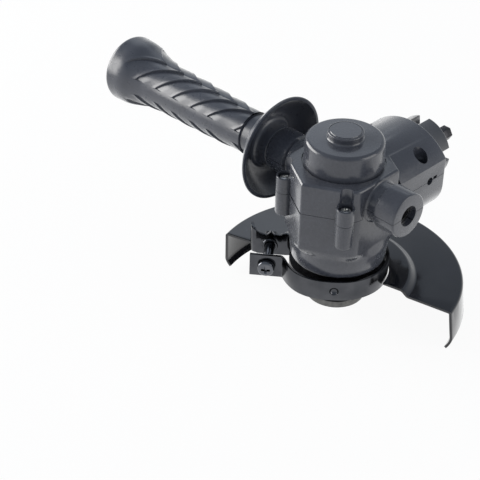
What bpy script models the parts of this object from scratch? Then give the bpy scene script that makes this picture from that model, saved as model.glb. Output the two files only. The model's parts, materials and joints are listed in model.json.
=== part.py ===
"""Angle grinder head that is driven by a hand drill, with its wheel guard and side handle.

The spindle turns about Z and the centre of its lower end face is the origin.
The drill shaft enters along +Y at the height DRIVE_Z, and the side handle
points along -X. All lengths are in metres, written as millimetres times MM.
"""

import bmesh
import bpy
from math import asin, atan2, cos, hypot, pi, radians, sin, sqrt, tan
from mathutils import Matrix, Vector

MM = 0.001

# Clearances
SEAT_GAP = 0.3 * MM         # between two pieces that touch
BALL_GAP = 0.25 * MM        # between a ball and its races

# Housing: a six-sided head with a round cap, split through the drive axis
HEAD_SIDE = 21.7 * MM       # axis to the side flats and the rear flats
HEAD_FRONT = 23.6 * MM      # axis to the two front flats
HEAD_TOP = 79.1 * MM
HEAD_EDGE = 1.5 * MM        # rounding of the top edge
HEAD_STRAIGHT_LOW = 45.5 * MM
SKIRT_RADIUS = 22.0 * MM
SKIRT_TOP = 39.5 * MM
SKIRT_BOTTOM = 30.8 * MM
SKIRT_DRAFT = 0.8 * MM
FRONT_CORNER_RADIUS = 6.0 * MM
SHARP_CORNER_RADIUS = 1.4 * MM
DRIVE_Z = 62.5 * MM         # drive axis and main parting plane
HANDLE_Z = 68.6 * MM        # side handle axis and side parting plane

CAP_RADIUS = 17.7 * MM
CAP_DRAFT = 0.4 * MM
CAP_TOP = 91.2 * MM
CAP_EDGE = 1.4 * MM
CAP_WALL = 3.2 * MM
CAP_BOSS_RADIUS = 8.1 * MM
CAP_BOSS_HEIGHT = 3.8 * MM
CAP_BOSS_EDGE = 1.2 * MM
CAP_BOSS_FILLET = 0.8 * MM

BARREL_FRONT = 17.1 * MM
BARREL_REAR = 46.7 * MM
BARREL_TOP_RADIUS = 27.2 * MM
BARREL_SHOULDER = 7.8 * MM  # the flat sides meet the top arc this far above the drive axis
BARREL_EDGE = 0.9 * MM
SIDE_HOLE_RADIUS = 1.6 * MM
SIDE_HOLE_Y = 35.8 * MM
SIDE_HOLE_DEPTH = 3.5 * MM

BOSS_RADIUS = 10.5 * MM
BOSS_END = 38.1 * MM
BOSS_EDGE = 0.8 * MM
SOCKET_RADIUS = 4.9 * MM
SOCKET_DEPTH = 14.0 * MM
NUT_FLATS = 13.0 * MM
NUT_THICKNESS = 6.5 * MM
NUT_COVER = 3.0 * MM        # boss wall outside the nut
SPLIT_STEP_X = 17.6 * MM    # the parting steps up outside this

# Housing screws: two at the front corners, two down through the barrel
FRONT_SCREW = (18.0 * MM, -18.2 * MM)
BARREL_SCREW = (16.5 * MM, 33.5 * MM)
SCREW_LEDGE = 68.6 * MM
SCREW_HEAD_RADIUS = 2.6 * MM
SCREW_HEAD_HEIGHT = 1.6 * MM
SCREW_RADIUS = 1.8 * MM
SCREW_TIP = 53.0 * MM
POST_RADIUS = 4.1 * MM
POST_BOTTOM = 51.5 * MM
POST_TOP = 71.3 * MM
POST_EDGE = 0.6 * MM
POST_PIT_RADIUS = 3.2 * MM  # pit over a front screw
BARREL_PIT_RADIUS = 3.45 * MM

# Bevel gears: a large wheel on the drill shaft turns a small pinion on the spindle
GEAR_MODULE = 1.15 * MM
WHEEL_TEETH = 28
PINION_TEETH = 14
GEAR_FACE = 5.0 * MM
TOOTH_FILL = 0.80           # share of the half pitch that a tooth takes
TOOTH_SLOPE = radians(20)
TOOTH_ROOT = 1.2            # depth below the pitch cone, in modules
WHEEL_PITCH = GEAR_MODULE * WHEEL_TEETH / 2
PINION_PITCH = GEAR_MODULE * PINION_TEETH / 2
PINION_HUB = 1.6 * MM
PINION_HUB_RADIUS = 5.6 * MM
PINION_FRONT = 11.2 * MM    # small end of the pinion, below the drive axis
GEAR_ROOM = 0.9 * MM        # clearance round the large wheel
WHEEL_ROOM_START = 2.5 * MM

# Spindle
SPINDLE_THREAD_RADIUS = 4.9 * MM
SPINDLE_SEAT_RADIUS = 6.0 * MM
SPINDLE_COLLAR_RADIUS = 8.0 * MM
SPINDLE_GEAR_RADIUS = 3.5 * MM
SPINDLE_TIP_RADIUS = 3.0 * MM
SPINDLE_TOP = CAP_TOP - CAP_WALL
SPINDLE_STEP = 9.5 * MM     # its thin end starts this far below the drive axis
SPINDLE_CHAMFER = 1.0 * MM

# Wheel clamp
FLANGE_RADIUS = 13.9 * MM
FLANGE_TOP = 17.3 * MM
FLANGE_THICKNESS = 4.0 * MM
FLANGE_HUB_RADIUS = 7.9 * MM
FLANGE_HUB_HEIGHT = 2.0 * MM
FLANGE_RELIEF = 0.5 * MM    # width and depth of the groove that lets the wheel seat flat
NUT_DISC_BOTTOM = 7.3 * MM
SPANNER_PITCH = 20.0 * MM
SPANNER_HOLE_RADIUS = 2.2 * MM
SPANNER_HOLE_DEPTH = 3.0 * MM

# Bearings as (bore radius, outer radius, width, ball count)
SPINDLE_BEARING = (6.0 * MM, 14.0 * MM, 8.0 * MM, 8)
FRONT_BEARING = (5.0 * MM, 13.0 * MM, 8.0 * MM, 7)
REAR_BEARING = (5.0 * MM, 11.0 * MM, 6.0 * MM, 8)
RING_WALL = 0.22            # share of the ring height taken by each race
GROOVE_DEPTH = 0.6 * MM     # depth of the ball groove in a race
CAGE_SHEET = 0.9 * MM
BUSH_RADIUS = 6.5 * MM
BUSH_LENGTH = 6.0 * MM

# Guard collar under the housing
COLLAR_RADIUS = 22.2 * MM
COLLAR_BOTTOM = 20.0 * MM
COLLAR_BAND_TOP = 26.0 * MM
COLLAR_NECK_RADIUS = 18.6 * MM
COLLAR_TOP = SKIRT_BOTTOM - SEAT_GAP
COLLAR_SCREW_PITCH = 16.6 * MM
COLLAR_SCREW_RADIUS = 1.5 * MM
COLLAR_SCREW_HEAD = 2.6 * MM
COLLAR_SCREW_LENGTH = 15.0 * MM
SEAL_RADIUS = 10.0 * MM
SEAL_THICKNESS = 3.0 * MM

# Wheel guard and its clamp band
GUARD_TURN = radians(15)    # how far the guard is turned in the photograph's pose
GUARD_RADIUS = 59.0 * MM
GUARD_PLATE_TOP = 19.2 * MM
GUARD_STEP = 2.4 * MM       # the middle of the plate stands this much higher
GUARD_STEP_INNER = 33.5 * MM
GUARD_STEP_OUTER = 37.0 * MM
GUARD_SHEET = 1.2 * MM
GUARD_BEND = 1.5 * MM
GUARD_FLARE = 1.9 * MM      # the skirt is sprung out this much at its +X end
GUARD_SKIRT_LOW = 3.8 * MM
GUARD_LIP = 2.3 * MM        # the bottom edge turns in this much
GUARD_BOTTOM = -0.1 * MM
GUARD_SAG = 1.9 * MM        # the bottom edge hangs this much lower at its +X end
GUARD_OVERRUN = radians(1.7)  # each end runs this far past the half circle
BAND_SHEET = 1.5 * MM
BAND_RADIUS = COLLAR_RADIUS + SEAT_GAP + BAND_SHEET
BAND_BOTTOM = 19.6 * MM
BAND_TOP = 29.6 * MM
EAR_DIRECTION = radians(218.3) - GUARD_TURN
EAR_OFFSET = 8.8 * MM       # front ear from the middle of the clamp
REAR_EAR_OFFSET = 8.0 * MM
EAR_REACH = 39.7 * MM
FRONT_EAR_BEND = 2.5 * MM   # radius of the bend between the band and the front ear
REAR_EAR_BEND = 4.0 * MM
BAND_BULGE = 2.4 * MM       # the band stands off the collar this much beside the front ear
BULGE_FULL = radians(45)    # it does so fully up to here, measured from the ears
BULGE_END = radians(95)
EAR_FLANGE = 5.6 * MM       # the outer end of the rear ear is bent back this far
EAR_ROOM = 4.1 * MM         # the guard is cut away this far beyond the ears
FRONT_EAR_SPREAD = (0.3 * MM, 1.1 * MM)  # below and above the band
REAR_EAR_CREST = ((0, 2.2 * MM), (0.22, 0.7 * MM), (0.48, 2.6 * MM), (0.61, 0.7 * MM), (1, 3.6 * MM))
CLAMP_SCREW_REACH = EAR_REACH - 7.7 * MM
CLAMP_SCREW_RADIUS = 2.4 * MM
CLAMP_HEAD_RADIUS = 4.0 * MM
CLAMP_HEAD_HEIGHT = 2.8 * MM
CLAMP_NUT_FLATS = 8.0 * MM
CLAMP_NUT_THICKNESS = 4.0 * MM

# Drill side
SHAFT_RADIUS = 5.0 * MM
SHAFT_FRONT = 5.6 * MM
SHAFT_ROUND_END = 49.0 * MM
SHAFT_END = 75.8 * MM
SHAFT_HEX_FLATS = 6.35 * MM
WHEEL_BACK = 12.6 * MM
WHEEL_HUB_RADIUS = 8.5 * MM
FRONT_BEARING_Y = 14.6 * MM
SPACER_LENGTH = 8.4 * MM
SPACER_RADIUS = 6.6 * MM
CIRCLIP_THICKNESS = 1.0 * MM
CIRCLIP_HEIGHT = 1.7 * MM
SLEEVE_RADIUS = 15.0 * MM
SLEEVE_BORE = 10.6 * MM
SLEEVE_END = 59.0 * MM
SLEEVE_WEB = 3.0 * MM
SLEEVE_RIM = 2.0 * MM
SLEEVE_SLOTS = 4
SLEEVE_SLOT_WIDTH = 6.0 * MM
SLEEVE_SLOT_TURN = radians(7)
SLEEVE_SLOT_LENGTH = 11.0 * MM

# Side handle
HANDLE_FACE = BOSS_END + SEAT_GAP
HUB_RADIUS = 10.0 * MM
DISH_RADIUS = 25.25 * MM
DISH_RIM = 37.4 * MM
DISH_FLOOR = 45.2 * MM
DISH_WALL = 1.6 * MM
DISH_LIP = 0.3 * MM         # thickness of the dish at its rim
DISH_BACK = 4.4 * MM        # thickness of the dish where it joins the neck
DISH_CURVE_INSIDE = 2.6
DISH_CURVE_OUTSIDE = 1.35
NECK_RADIUS = 9.6 * MM
CORE_RADIUS = 7.0 * MM
CORE_END = 136.0 * MM
SLEEVE_START = 55.3 * MM
GRIP_END = 128.0 * MM
# Radius of the grip at shares of its length
GRIP_KNOTS = (
    (0, 10.2 * MM), (0.11, 10.3 * MM), (0.23, 10.7 * MM), (0.4, 11.1 * MM),
    (0.59, 11.5 * MM), (0.75, 11.6 * MM), (0.89, 12.4 * MM), (1, 14.3 * MM),
)
END_RADIUS = 16.8 * MM
END_RIM = 141.6 * MM
END_DOME = 1.3 * MM         # height of the domed end above its rounded rim
STUD_RADIUS = 3.7 * MM
STUD_TIP = 25.5 * MM
STUD_END = 64.0 * MM
STUD_HEAD_FLATS = 11.0 * MM
STUD_HEAD_THICKNESS = 5.0 * MM

# Facets round a turned piece
FINE = 28
COARSE = 20
BORE = 16
BAND_STEPS = 32
POST_FACETS = 12
SMALL = 8

TO_X = Matrix.Rotation(pi / 2, 4, "Y")
TO_Y = Matrix.Rotation(-pi / 2, 4, "X")
TO_DOWN = Matrix.Rotation(pi, 4, "X")
CUT_TURN = Matrix.Rotation(radians(2.3), 4, "Z")  # keeps a hole's facets off those of the piece it cuts


def clear_scene():
    """Remove what the file already holds."""
    for old in list(bpy.data.objects):
        bpy.data.objects.remove(old, do_unlink=True)


def material(name, colour, roughness, metallic=0.0):
    """One Principled material."""
    made = bpy.data.materials.new(name)
    made.use_nodes = True
    shader = made.node_tree.nodes["Principled BSDF"]
    shader.inputs["Base Color"].default_value = (*colour, 1)
    shader.inputs["Roughness"].default_value = roughness
    shader.inputs["Metallic"].default_value = metallic
    return made


def shape(bm, matrix=Matrix.Identity(4)):
    """A loose object from a bmesh, moved into place."""
    bmesh.ops.transform(bm, matrix=matrix, verts=bm.verts)
    bmesh.ops.recalc_face_normals(bm, faces=bm.faces)
    mesh = bpy.data.meshes.new("shape")
    bm.to_mesh(mesh)
    bm.free()
    made = bpy.data.objects.new("shape", mesh)
    bpy.context.scene.collection.objects.link(made)
    return made


def combine(target, operation, *tools):
    """Apply Boolean steps to target and use up the tools."""
    for tool in tools:
        step = target.modifiers.new(operation, "BOOLEAN")
        step.operation = operation
        step.solver = "EXACT"
        step.object = tool
    graph = bpy.context.evaluated_depsgraph_get()
    result = bpy.data.meshes.new_from_object(target.evaluated_get(graph))
    target.modifiers.clear()
    target.data = result
    for tool in tools:
        bpy.data.objects.remove(tool, do_unlink=True)
    return target


def cut(target, *tools):
    return combine(target, "DIFFERENCE", *tools)


def join(target, *tools):
    return combine(target, "UNION", *tools)


def finish(part, name, surface, pivot=(0, 0, 0), sharp=38):
    """Name a piece, give it its material and put its origin on its joint axis."""
    bm = bmesh.new()
    bm.from_mesh(part.data)
    bmesh.ops.remove_doubles(bm, verts=bm.verts, dist=0.002 * MM)
    bmesh.ops.dissolve_degenerate(bm, edges=bm.edges, dist=0.002 * MM)
    bmesh.ops.transform(bm, matrix=Matrix.Translation(-Vector(pivot)), verts=bm.verts)
    bm.to_mesh(part.data)
    bm.free()
    part.location = pivot
    part.name = name
    part.data.name = name
    part.data.materials.clear()
    part.data.materials.append(surface)
    part.data.shade_smooth()
    part.data.set_sharp_from_angle(angle=radians(sharp))
    return part


def loft(rings, matrix=Matrix.Identity(4)):
    """Skin a row of equal rings and close both ends."""
    bm = bmesh.new()
    rows = [[bm.verts.new(point) for point in ring] for ring in rings]
    count = len(rows[0])
    for low, high in zip(rows, rows[1:]):
        for i in range(count):
            j = (i + 1) % count
            bm.faces.new((low[i], low[j], high[j], high[i]))
    bm.faces.new(rows[0])
    bm.faces.new(rows[-1])
    return shape(bm, matrix)


def turned(profile, steps=FINE, matrix=Matrix.Identity(4)):
    """Spin an outline of (radius, height) points about Z."""
    bm = bmesh.new()
    verts = [bm.verts.new((radius, 0, height)) for radius, height in profile]
    pairs = list(zip(verts, verts[1:]))
    if profile[0][0] > 0 or profile[-1][0] > 0:
        pairs.append((verts[-1], verts[0]))
    edges = [bm.edges.new(pair) for pair in pairs]
    bmesh.ops.spin(
        bm, geom=verts + edges, cent=(0, 0, 0), axis=(0, 0, 1), angle=2 * pi, steps=steps, use_merge=True
    )
    bmesh.ops.remove_doubles(bm, verts=bm.verts, dist=0.001 * MM)
    poles = [vert for vert in bm.verts if hypot(vert.co.x, vert.co.y) < 0.01 * MM]
    bmesh.ops.dissolve_verts(bm, verts=poles)
    return shape(bm, matrix)


def bored(profile, steps, matrix=Matrix.Identity(4)):
    """A turned cutter whose flats, not its corners, lie on the outline's radius."""
    widen = 1 / cos(pi / steps)
    return turned([(radius * widen, height) for radius, height in profile], steps, matrix @ CUT_TURN)


def rod(radius, low, high, steps=BORE, matrix=Matrix.Identity(4)):
    """A plain round cutter between two heights."""
    return bored([(0, low), (radius, low), (radius, high), (0, high)], steps, matrix)


def prism(outline, low, high, matrix=Matrix.Identity(4)):
    """Raise a flat outline between two heights."""
    bm = bmesh.new()
    face = bm.faces.new([bm.verts.new((x, y, low)) for x, y in outline])
    raised = bmesh.ops.extrude_face_region(bm, geom=[face])["geom"]
    verts = [item for item in raised if isinstance(item, bmesh.types.BMVert)]
    bmesh.ops.translate(bm, vec=(0, 0, high - low), verts=verts)
    return shape(bm, matrix)


def box(low, high, matrix=Matrix.Identity(4)):
    """A block between two corners."""
    bm = bmesh.new()
    bmesh.ops.create_cube(bm, size=1)
    size = Vector(high) - Vector(low)
    middle = (Vector(high) + Vector(low)) / 2
    bmesh.ops.transform(bm, matrix=Matrix.Translation(middle) @ Matrix.Diagonal((*size, 1)), verts=bm.verts)
    return shape(bm, matrix)


def arc(centre, radius, start, end, steps):
    """Points on a circle from one angle to another, both ends kept."""
    angles = [start + (end - start) * i / steps for i in range(steps + 1)]
    return [(centre[0] + radius * cos(a), centre[1] + radius * sin(a)) for a in angles]


def polygon(flats, sides=6):
    """A regular outline from its width across flats, with one flat across +Y."""
    radius = flats / 2 / cos(pi / sides)
    return [(radius * cos(2 * pi * i / sides), radius * sin(2 * pi * i / sides)) for i in range(sides)]


def at(x, y, z):
    return Matrix.Translation((x, y, z))


def rounded_planes(planes, inset, corner_steps=3, edge_steps=2):
    """Outline of flats given as (normal angle, distance, radius of the corner after it)."""
    ring = []
    count = len(planes)
    for i in range(count):
        angle_a, near_a, radius = planes[i]
        angle_b, near_b, _ = planes[(i + 1) % count]
        if angle_b < angle_a:
            angle_b += 2 * pi
        radius = max(radius, inset + 0.2 * MM)
        dist_a = near_a - radius
        dist_b = near_b - radius
        turn = sin(angle_b - angle_a)
        centre = (
            (dist_a * sin(angle_b) - dist_b * sin(angle_a)) / turn,
            (dist_b * cos(angle_a) - dist_a * cos(angle_b)) / turn,
        )
        ring.append(arc(centre, radius - inset, angle_a, angle_b, corner_steps))
    points = []
    for here, after in zip(ring, ring[1:] + ring[:1]):
        points += here
        start = Vector(here[-1])
        end = Vector(after[0])
        points += [tuple(start.lerp(end, k / (edge_steps + 1))) for k in range(1, edge_steps + 1)]
    return points


def head_outline(inset=0.0):
    """Plan of the head: side and rear flats at one distance, front flats a little further out."""
    small = SHARP_CORNER_RADIUS
    planes = [
        (0, HEAD_SIDE, small),
        (radians(60), HEAD_SIDE, small),
        (radians(120), HEAD_SIDE, small),
        (radians(180), HEAD_SIDE, FRONT_CORNER_RADIUS),
        (radians(240), HEAD_FRONT, small),
        (radians(300), HEAD_FRONT, FRONT_CORNER_RADIUS),
    ]
    return rounded_planes(planes, inset)


def head_block():
    """Six-sided head that runs down into a round skirt."""
    rings = []
    plan = head_outline()

    def round_ring(radius, z):
        return [(radius * x / hypot(x, y), radius * y / hypot(x, y), z) for x, y in plan]

    rings.append(round_ring(SKIRT_RADIUS - 0.5 * MM, SKIRT_BOTTOM))
    rings.append(round_ring(SKIRT_RADIUS, SKIRT_BOTTOM + 0.5 * MM))
    rings.append(round_ring(SKIRT_RADIUS + SKIRT_DRAFT, SKIRT_TOP))
    circle = rings[-1]
    for share in (0.5, 1.0):
        z = SKIRT_TOP + (HEAD_STRAIGHT_LOW - SKIRT_TOP) * share
        blend = []
        for (x, y, _), (flat_x, flat_y) in zip(circle, plan):
            blend.append((x + (flat_x - x) * share, y + (flat_y - y) * share, z))
        rings.append(blend)
    for turn in (0, 45, 90):
        inset = HEAD_EDGE * (1 - cos(radians(turn)))
        z = HEAD_TOP - HEAD_EDGE * (1 - sin(radians(turn)))
        rings.append([(x, y, z) for x, y in head_outline(inset)])
    return loft(rings)


def cap_block():
    """Round cap with a small raised boss in the middle."""
    edge = CAP_EDGE
    boss = CAP_BOSS_RADIUS
    fillet = CAP_BOSS_FILLET
    boss_top = CAP_TOP + CAP_BOSS_HEIGHT
    profile = [(0, boss_top)]
    profile += arc((boss - CAP_BOSS_EDGE, boss_top - CAP_BOSS_EDGE), CAP_BOSS_EDGE, pi / 2, 0, 2)
    profile += arc((boss + fillet, CAP_TOP + fillet), fillet, pi, 1.5 * pi, 1)
    profile += arc((CAP_RADIUS - edge, CAP_TOP - edge), edge, pi / 2, 0, 2)
    profile += [(CAP_RADIUS + CAP_DRAFT, HEAD_TOP - 2 * MM), (0, HEAD_TOP - 2 * MM)]
    return turned(profile, FINE)


def barrel_ring(y, inset):
    """Section of the barrel: a flat-sided tube with a wider arc on top."""
    top_centre = DRIVE_Z + BARREL_SHOULDER - sqrt(BARREL_TOP_RADIUS**2 - HEAD_SIDE**2)
    side = HEAD_SIDE - inset
    radius = BARREL_TOP_RADIUS - inset
    start = atan2(sqrt(radius**2 - side**2), side)
    upper = arc((0, top_centre), radius, start, pi - start, 10)
    lower = arc((0, DRIVE_Z), side, pi, 2 * pi, 12)
    return [(x, y, z) for x, z in upper + lower]


def barrel_block():
    """Barrel round the drill shaft."""
    rings = [barrel_ring(BARREL_FRONT, 0)]
    for turn in (0, 45, 90):
        inset = BARREL_EDGE * (1 - cos(radians(turn)))
        rings.append(barrel_ring(BARREL_REAR - BARREL_EDGE * (1 - sin(radians(turn))), inset))
    return loft(rings)


def side_boss(side):
    """Handle boss on one side, +1 or -1."""
    edge = BOSS_EDGE
    profile = [(0, HEAD_SIDE - 3 * MM), (BOSS_RADIUS, HEAD_SIDE - 3 * MM)]
    profile += arc((BOSS_RADIUS - edge, BOSS_END - edge), edge, 0, pi / 2, 2)
    profile += [(0, BOSS_END)]
    return turned(profile, COARSE, at(0, 0, HANDLE_Z) @ Matrix.Rotation(side * pi / 2, 4, "Y"))


def screw_post(side):
    """Half-round post that carries a front housing screw."""
    edge = POST_EDGE
    profile = [(0, POST_BOTTOM), (POST_RADIUS - edge, POST_BOTTOM), (POST_RADIUS, POST_BOTTOM + edge)]
    profile += [(POST_RADIUS, POST_TOP), (0, POST_TOP)]
    return turned(profile, POST_FACETS, at(side * FRONT_SCREW[0], FRONT_SCREW[1], 0))


def screw_places():
    """Name, axis and pit radius of each of the four housing screws."""
    sides = (("left", -1), ("right", 1))
    rows = (("front", FRONT_SCREW, POST_PIT_RADIUS), ("barrel", BARREL_SCREW, BARREL_PIT_RADIUS))
    places = []
    for row, (x, y), pit in rows:
        places += [(f"{row}_screw_{word}", side * x, y, pit) for word, side in sides]
    return places


def housing_outside():
    """The whole outer form, before it is hollowed and split."""
    body = head_block()
    posts = [screw_post(side) for side in (-1, 1)]
    bosses = [side_boss(side) for side in (-1, 1)]
    return join(body, barrel_block(), cap_block(), *bosses, *posts)


def spindle_bearing_low():
    return COLLAR_TOP + SEAT_GAP


def spindle_bearing_top():
    return spindle_bearing_low() + SPINDLE_BEARING[2]


def bush_low():
    return SPINDLE_TOP - BUSH_LENGTH - 0.4 * MM


def rear_bearing_y():
    return FRONT_BEARING_Y + FRONT_BEARING[2] + SPACER_LENGTH + 2 * SEAT_GAP


def circlip_y():
    return rear_bearing_y() + REAR_BEARING[2] + SEAT_GAP


def sleeve_y():
    return circlip_y() + CIRCLIP_THICKNESS + 2 * SEAT_GAP


def upright_bore():
    """Stepped bore round the spindle: bearing seat, gear room and bush seat."""
    seat = SPINDLE_BEARING[1] + SEAT_GAP
    seat_top = spindle_bearing_top() + SEAT_GAP
    shoulder = seat - 2 * MM
    floor = seat_top + 2 * MM
    room = CAP_RADIUS - CAP_WALL
    room_top = HEAD_TOP + GEAR_ROOM
    bush = BUSH_RADIUS + SEAT_GAP
    below = SKIRT_BOTTOM - 5 * MM
    top = SPINDLE_TOP + 0.4 * MM
    profile = [(0, below), (seat, below), (seat, seat_top), (shoulder, seat_top), (shoulder, floor)]
    profile += [(room, floor), (room, room_top), (bush, room_top), (bush, top), (0, top)]
    return bored(profile, BORE)


def drive_bore():
    """Stepped bore round the drill shaft, from the gear room to the rear rim."""
    wheel = WHEEL_PITCH + GEAR_ROOM
    wheel_end = WHEEL_BACK + 0.4 * MM
    front = FRONT_BEARING[1] + SEAT_GAP
    rear = REAR_BEARING[1] + SEAT_GAP
    step = FRONT_BEARING_Y + FRONT_BEARING[2] + SEAT_GAP
    rim = sleeve_y() - SEAT_GAP
    rim_end = sleeve_y() + SLEEVE_WEB + SEAT_GAP
    rim_radius = SLEEVE_RADIUS + SLEEVE_RIM + SEAT_GAP
    mouth = SLEEVE_RADIUS + SEAT_GAP
    end = BARREL_REAR + 2 * MM
    profile = [(0, WHEEL_ROOM_START), (wheel, WHEEL_ROOM_START), (wheel, wheel_end), (front, wheel_end)]
    profile += [(front, step), (rear, step), (rear, rim), (rim_radius, rim), (rim_radius, rim_end)]
    profile += [(mouth, rim_end), (mouth, end), (0, end)]
    return bored(profile, BORE, at(0, 0, DRIVE_Z) @ TO_Y)


def handle_socket(side):
    """Stud hole and nut pocket in one boss."""
    spin = at(0, 0, HANDLE_Z) @ Matrix.Rotation(side * pi / 2, 4, "Y")
    hole = rod(SOCKET_RADIUS, BOSS_END - SOCKET_DEPTH, BOSS_END + MM, BORE, spin)
    pocket_end = BOSS_END - NUT_COVER
    pocket_start = pocket_end - NUT_THICKNESS - 2 * SEAT_GAP
    pocket = prism(polygon(NUT_FLATS + 2 * SEAT_GAP), pocket_start, pocket_end, spin)
    return join(pocket, hole)


def screw_bores():
    """Pits and shank holes of the housing screws."""
    tools = []
    for _, x, y, pit in screw_places():
        tools.append(rod(pit, SCREW_LEDGE, CAP_TOP, POST_FACETS, at(x, y, 0)))
        hole = SCREW_RADIUS + SEAT_GAP
        tools.append(rod(hole, SCREW_TIP - SEAT_GAP, SCREW_LEDGE + MM, SMALL, at(x, y, 0)))
    return tools


def side_holes():
    """Small holes in the barrel flats, on the parting plane."""
    reach = HEAD_SIDE + MM
    tools = []
    for side in (-1, 1):
        spin = at(0, SIDE_HOLE_Y, DRIVE_Z) @ Matrix.Rotation(side * pi / 2, 4, "Y")
        tools.append(rod(SIDE_HOLE_RADIUS, HEAD_SIDE - SIDE_HOLE_DEPTH, reach, SMALL, spin))
    return tools


def parting(shift):
    """Everything under the stepped parting surface, moved up by shift."""
    far = 2 * BARREL_REAR
    low = box((-far, -far, -far), (far, far, DRIVE_Z + shift))
    half = BOSS_RADIUS + 0.4 * MM + shift
    inner = SPLIT_STEP_X - shift
    steps = []
    for side in (-1, 1):
        xs = sorted((side * inner, side * far))
        steps.append(box((xs[0], -half, 0), (xs[1], half, HANDLE_Z + shift)))
    return join(low, *steps)


def make_housing(surface):
    """Upper and lower shells."""
    tools = [upright_bore(), drive_bore(), handle_socket(-1), handle_socket(1)]
    tools += screw_bores() + side_holes() + collar_screw_bores()
    body = cut(housing_outside(), *tools)
    lower = bpy.data.objects.new("lower", body.data.copy())
    bpy.context.scene.collection.objects.link(lower)
    cut(body, parting(SEAT_GAP / 2))
    combine(lower, "INTERSECT", parting(-SEAT_GAP / 2))
    finish(body, "upper_housing", surface)
    finish(lower, "lower_housing", surface)


def cross_recess(radius, depth, top):
    """Cross-shaped driver recess, to be cut into a screw head."""
    arm = radius * 0.30
    reach = radius * 1.1
    outline = []
    for quarter in range(4):
        turn = Matrix.Rotation(quarter * pi / 2, 2)
        for point in ((reach, -arm), (reach, arm), (arm, arm)):
            outline.append(tuple(turn @ Vector(point)))
    return prism(outline, top - depth, top + MM)


def pan_screw(head_radius, head_height, shank_radius, ledge, tip, steps=SMALL):
    """Pan-head screw along Z, head up, seated on a ledge."""
    low = ledge + SEAT_GAP
    top = low + head_height
    crown = []
    for turn in (40, 90):
        drop = 0.45 * head_height * (1 - cos(radians(turn)))
        crown.append((head_radius * sin(radians(turn)), top - drop))
    profile = [(0, crown[0][1])] + crown + [(head_radius, low), (shank_radius, low)]
    profile += [(shank_radius, tip + shank_radius * 0.6), (shank_radius * 0.4, tip), (0, tip)]
    screw = turned(profile, steps)
    return cut(screw, cross_recess(head_radius * 0.55, head_height * 0.55, top))


def make_housing_screws(surface):
    """Four equal screws that close the housing."""
    for name, x, y, _ in screw_places():
        screw = pan_screw(SCREW_HEAD_RADIUS, SCREW_HEAD_HEIGHT, SCREW_RADIUS, SCREW_LEDGE, SCREW_TIP)
        screw.data.transform(at(x, y, 0))
        finish(screw, name, surface)


def make_handle_nuts(surface):
    """Hex nuts trapped in both bosses."""
    for word, side in (("left", -1), ("right", 1)):
        start = BOSS_END - NUT_COVER - NUT_THICKNESS - SEAT_GAP
        spin = at(0, 0, HANDLE_Z) @ Matrix.Rotation(side * pi / 2, 4, "Y")
        nut = prism(polygon(NUT_FLATS), start, start + NUT_THICKNESS, spin)
        cut(nut, rod(STUD_RADIUS + SEAT_GAP, start - MM, start + NUT_THICKNESS + MM, BORE, spin))
        finish(nut, f"handle_nut_{word}", surface)


def make_bearing(name, sizes, start, matrix, steel, pivot):
    """Ball bearing as an outer ring, an inner ring and its balls."""
    bore, outer, width, balls = sizes
    inner_r = bore + SEAT_GAP
    height = outer - inner_r
    wall = height * RING_WALL
    middle = (inner_r + outer) / 2
    ball = height / 2 - wall + GROOVE_DEPTH - BALL_GAP
    centre = start + width / 2
    groove = ball + BALL_GAP
    shoulder = height / 2 - wall
    half = sqrt(groove**2 - shoulder**2)
    low = start
    high = start + width
    sweep = asin(half / groove)
    outer_groove = [(middle + groove * cos(a), centre + groove * sin(a)) for a in (-sweep, 0, sweep)]
    inner_groove = [(middle - groove * cos(a), centre + groove * sin(a)) for a in (-sweep, 0, sweep)]
    outer_profile = [(outer, low), (outer, high), (outer - wall, high)]
    outer_profile += outer_groove[::-1] + [(outer - wall, low)]
    inner_profile = [(inner_r, low), (inner_r + wall, low)] + inner_groove
    inner_profile += [(inner_r + wall, high), (inner_r, high)]
    facets = 2 * balls
    finish(turned(outer_profile, facets, matrix), name + "_outer_ring", steel)
    finish(turned(inner_profile, facets, matrix), name + "_inner_ring", steel, pivot)
    web = CAGE_SHEET / 2
    hoop = [(middle - web, centre - web), (middle + web, centre - web)]
    hoop += [(middle + web, centre + web), (middle - web, centre + web)]
    cage = turned(hoop, facets, matrix)
    made = []
    for i in range(balls):
        bm = bmesh.new()
        bmesh.ops.create_uvsphere(bm, u_segments=6, v_segments=3, radius=ball)
        turn = 2 * pi * i / balls
        made.append(shape(bm, matrix @ at(middle * cos(turn), middle * sin(turn), centre)))
    finish(join(cage, *made), name + "_cage", steel)


def make_circlip(name, inner, start, thickness, height, matrix, steel, pivot):
    """Open retaining ring round a shaft."""
    opening = radians(35)
    rings = []
    steps = 16
    end = start + thickness
    outline = [(inner, start), (inner + height, start), (inner + height, end), (inner, end)]
    for i in range(steps + 1):
        turn = opening / 2 + (2 * pi - opening) * i / steps
        rings.append([(r * cos(turn), r * sin(turn), h) for r, h in outline])
    finish(loft(rings, matrix), name, steel, pivot)


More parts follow.
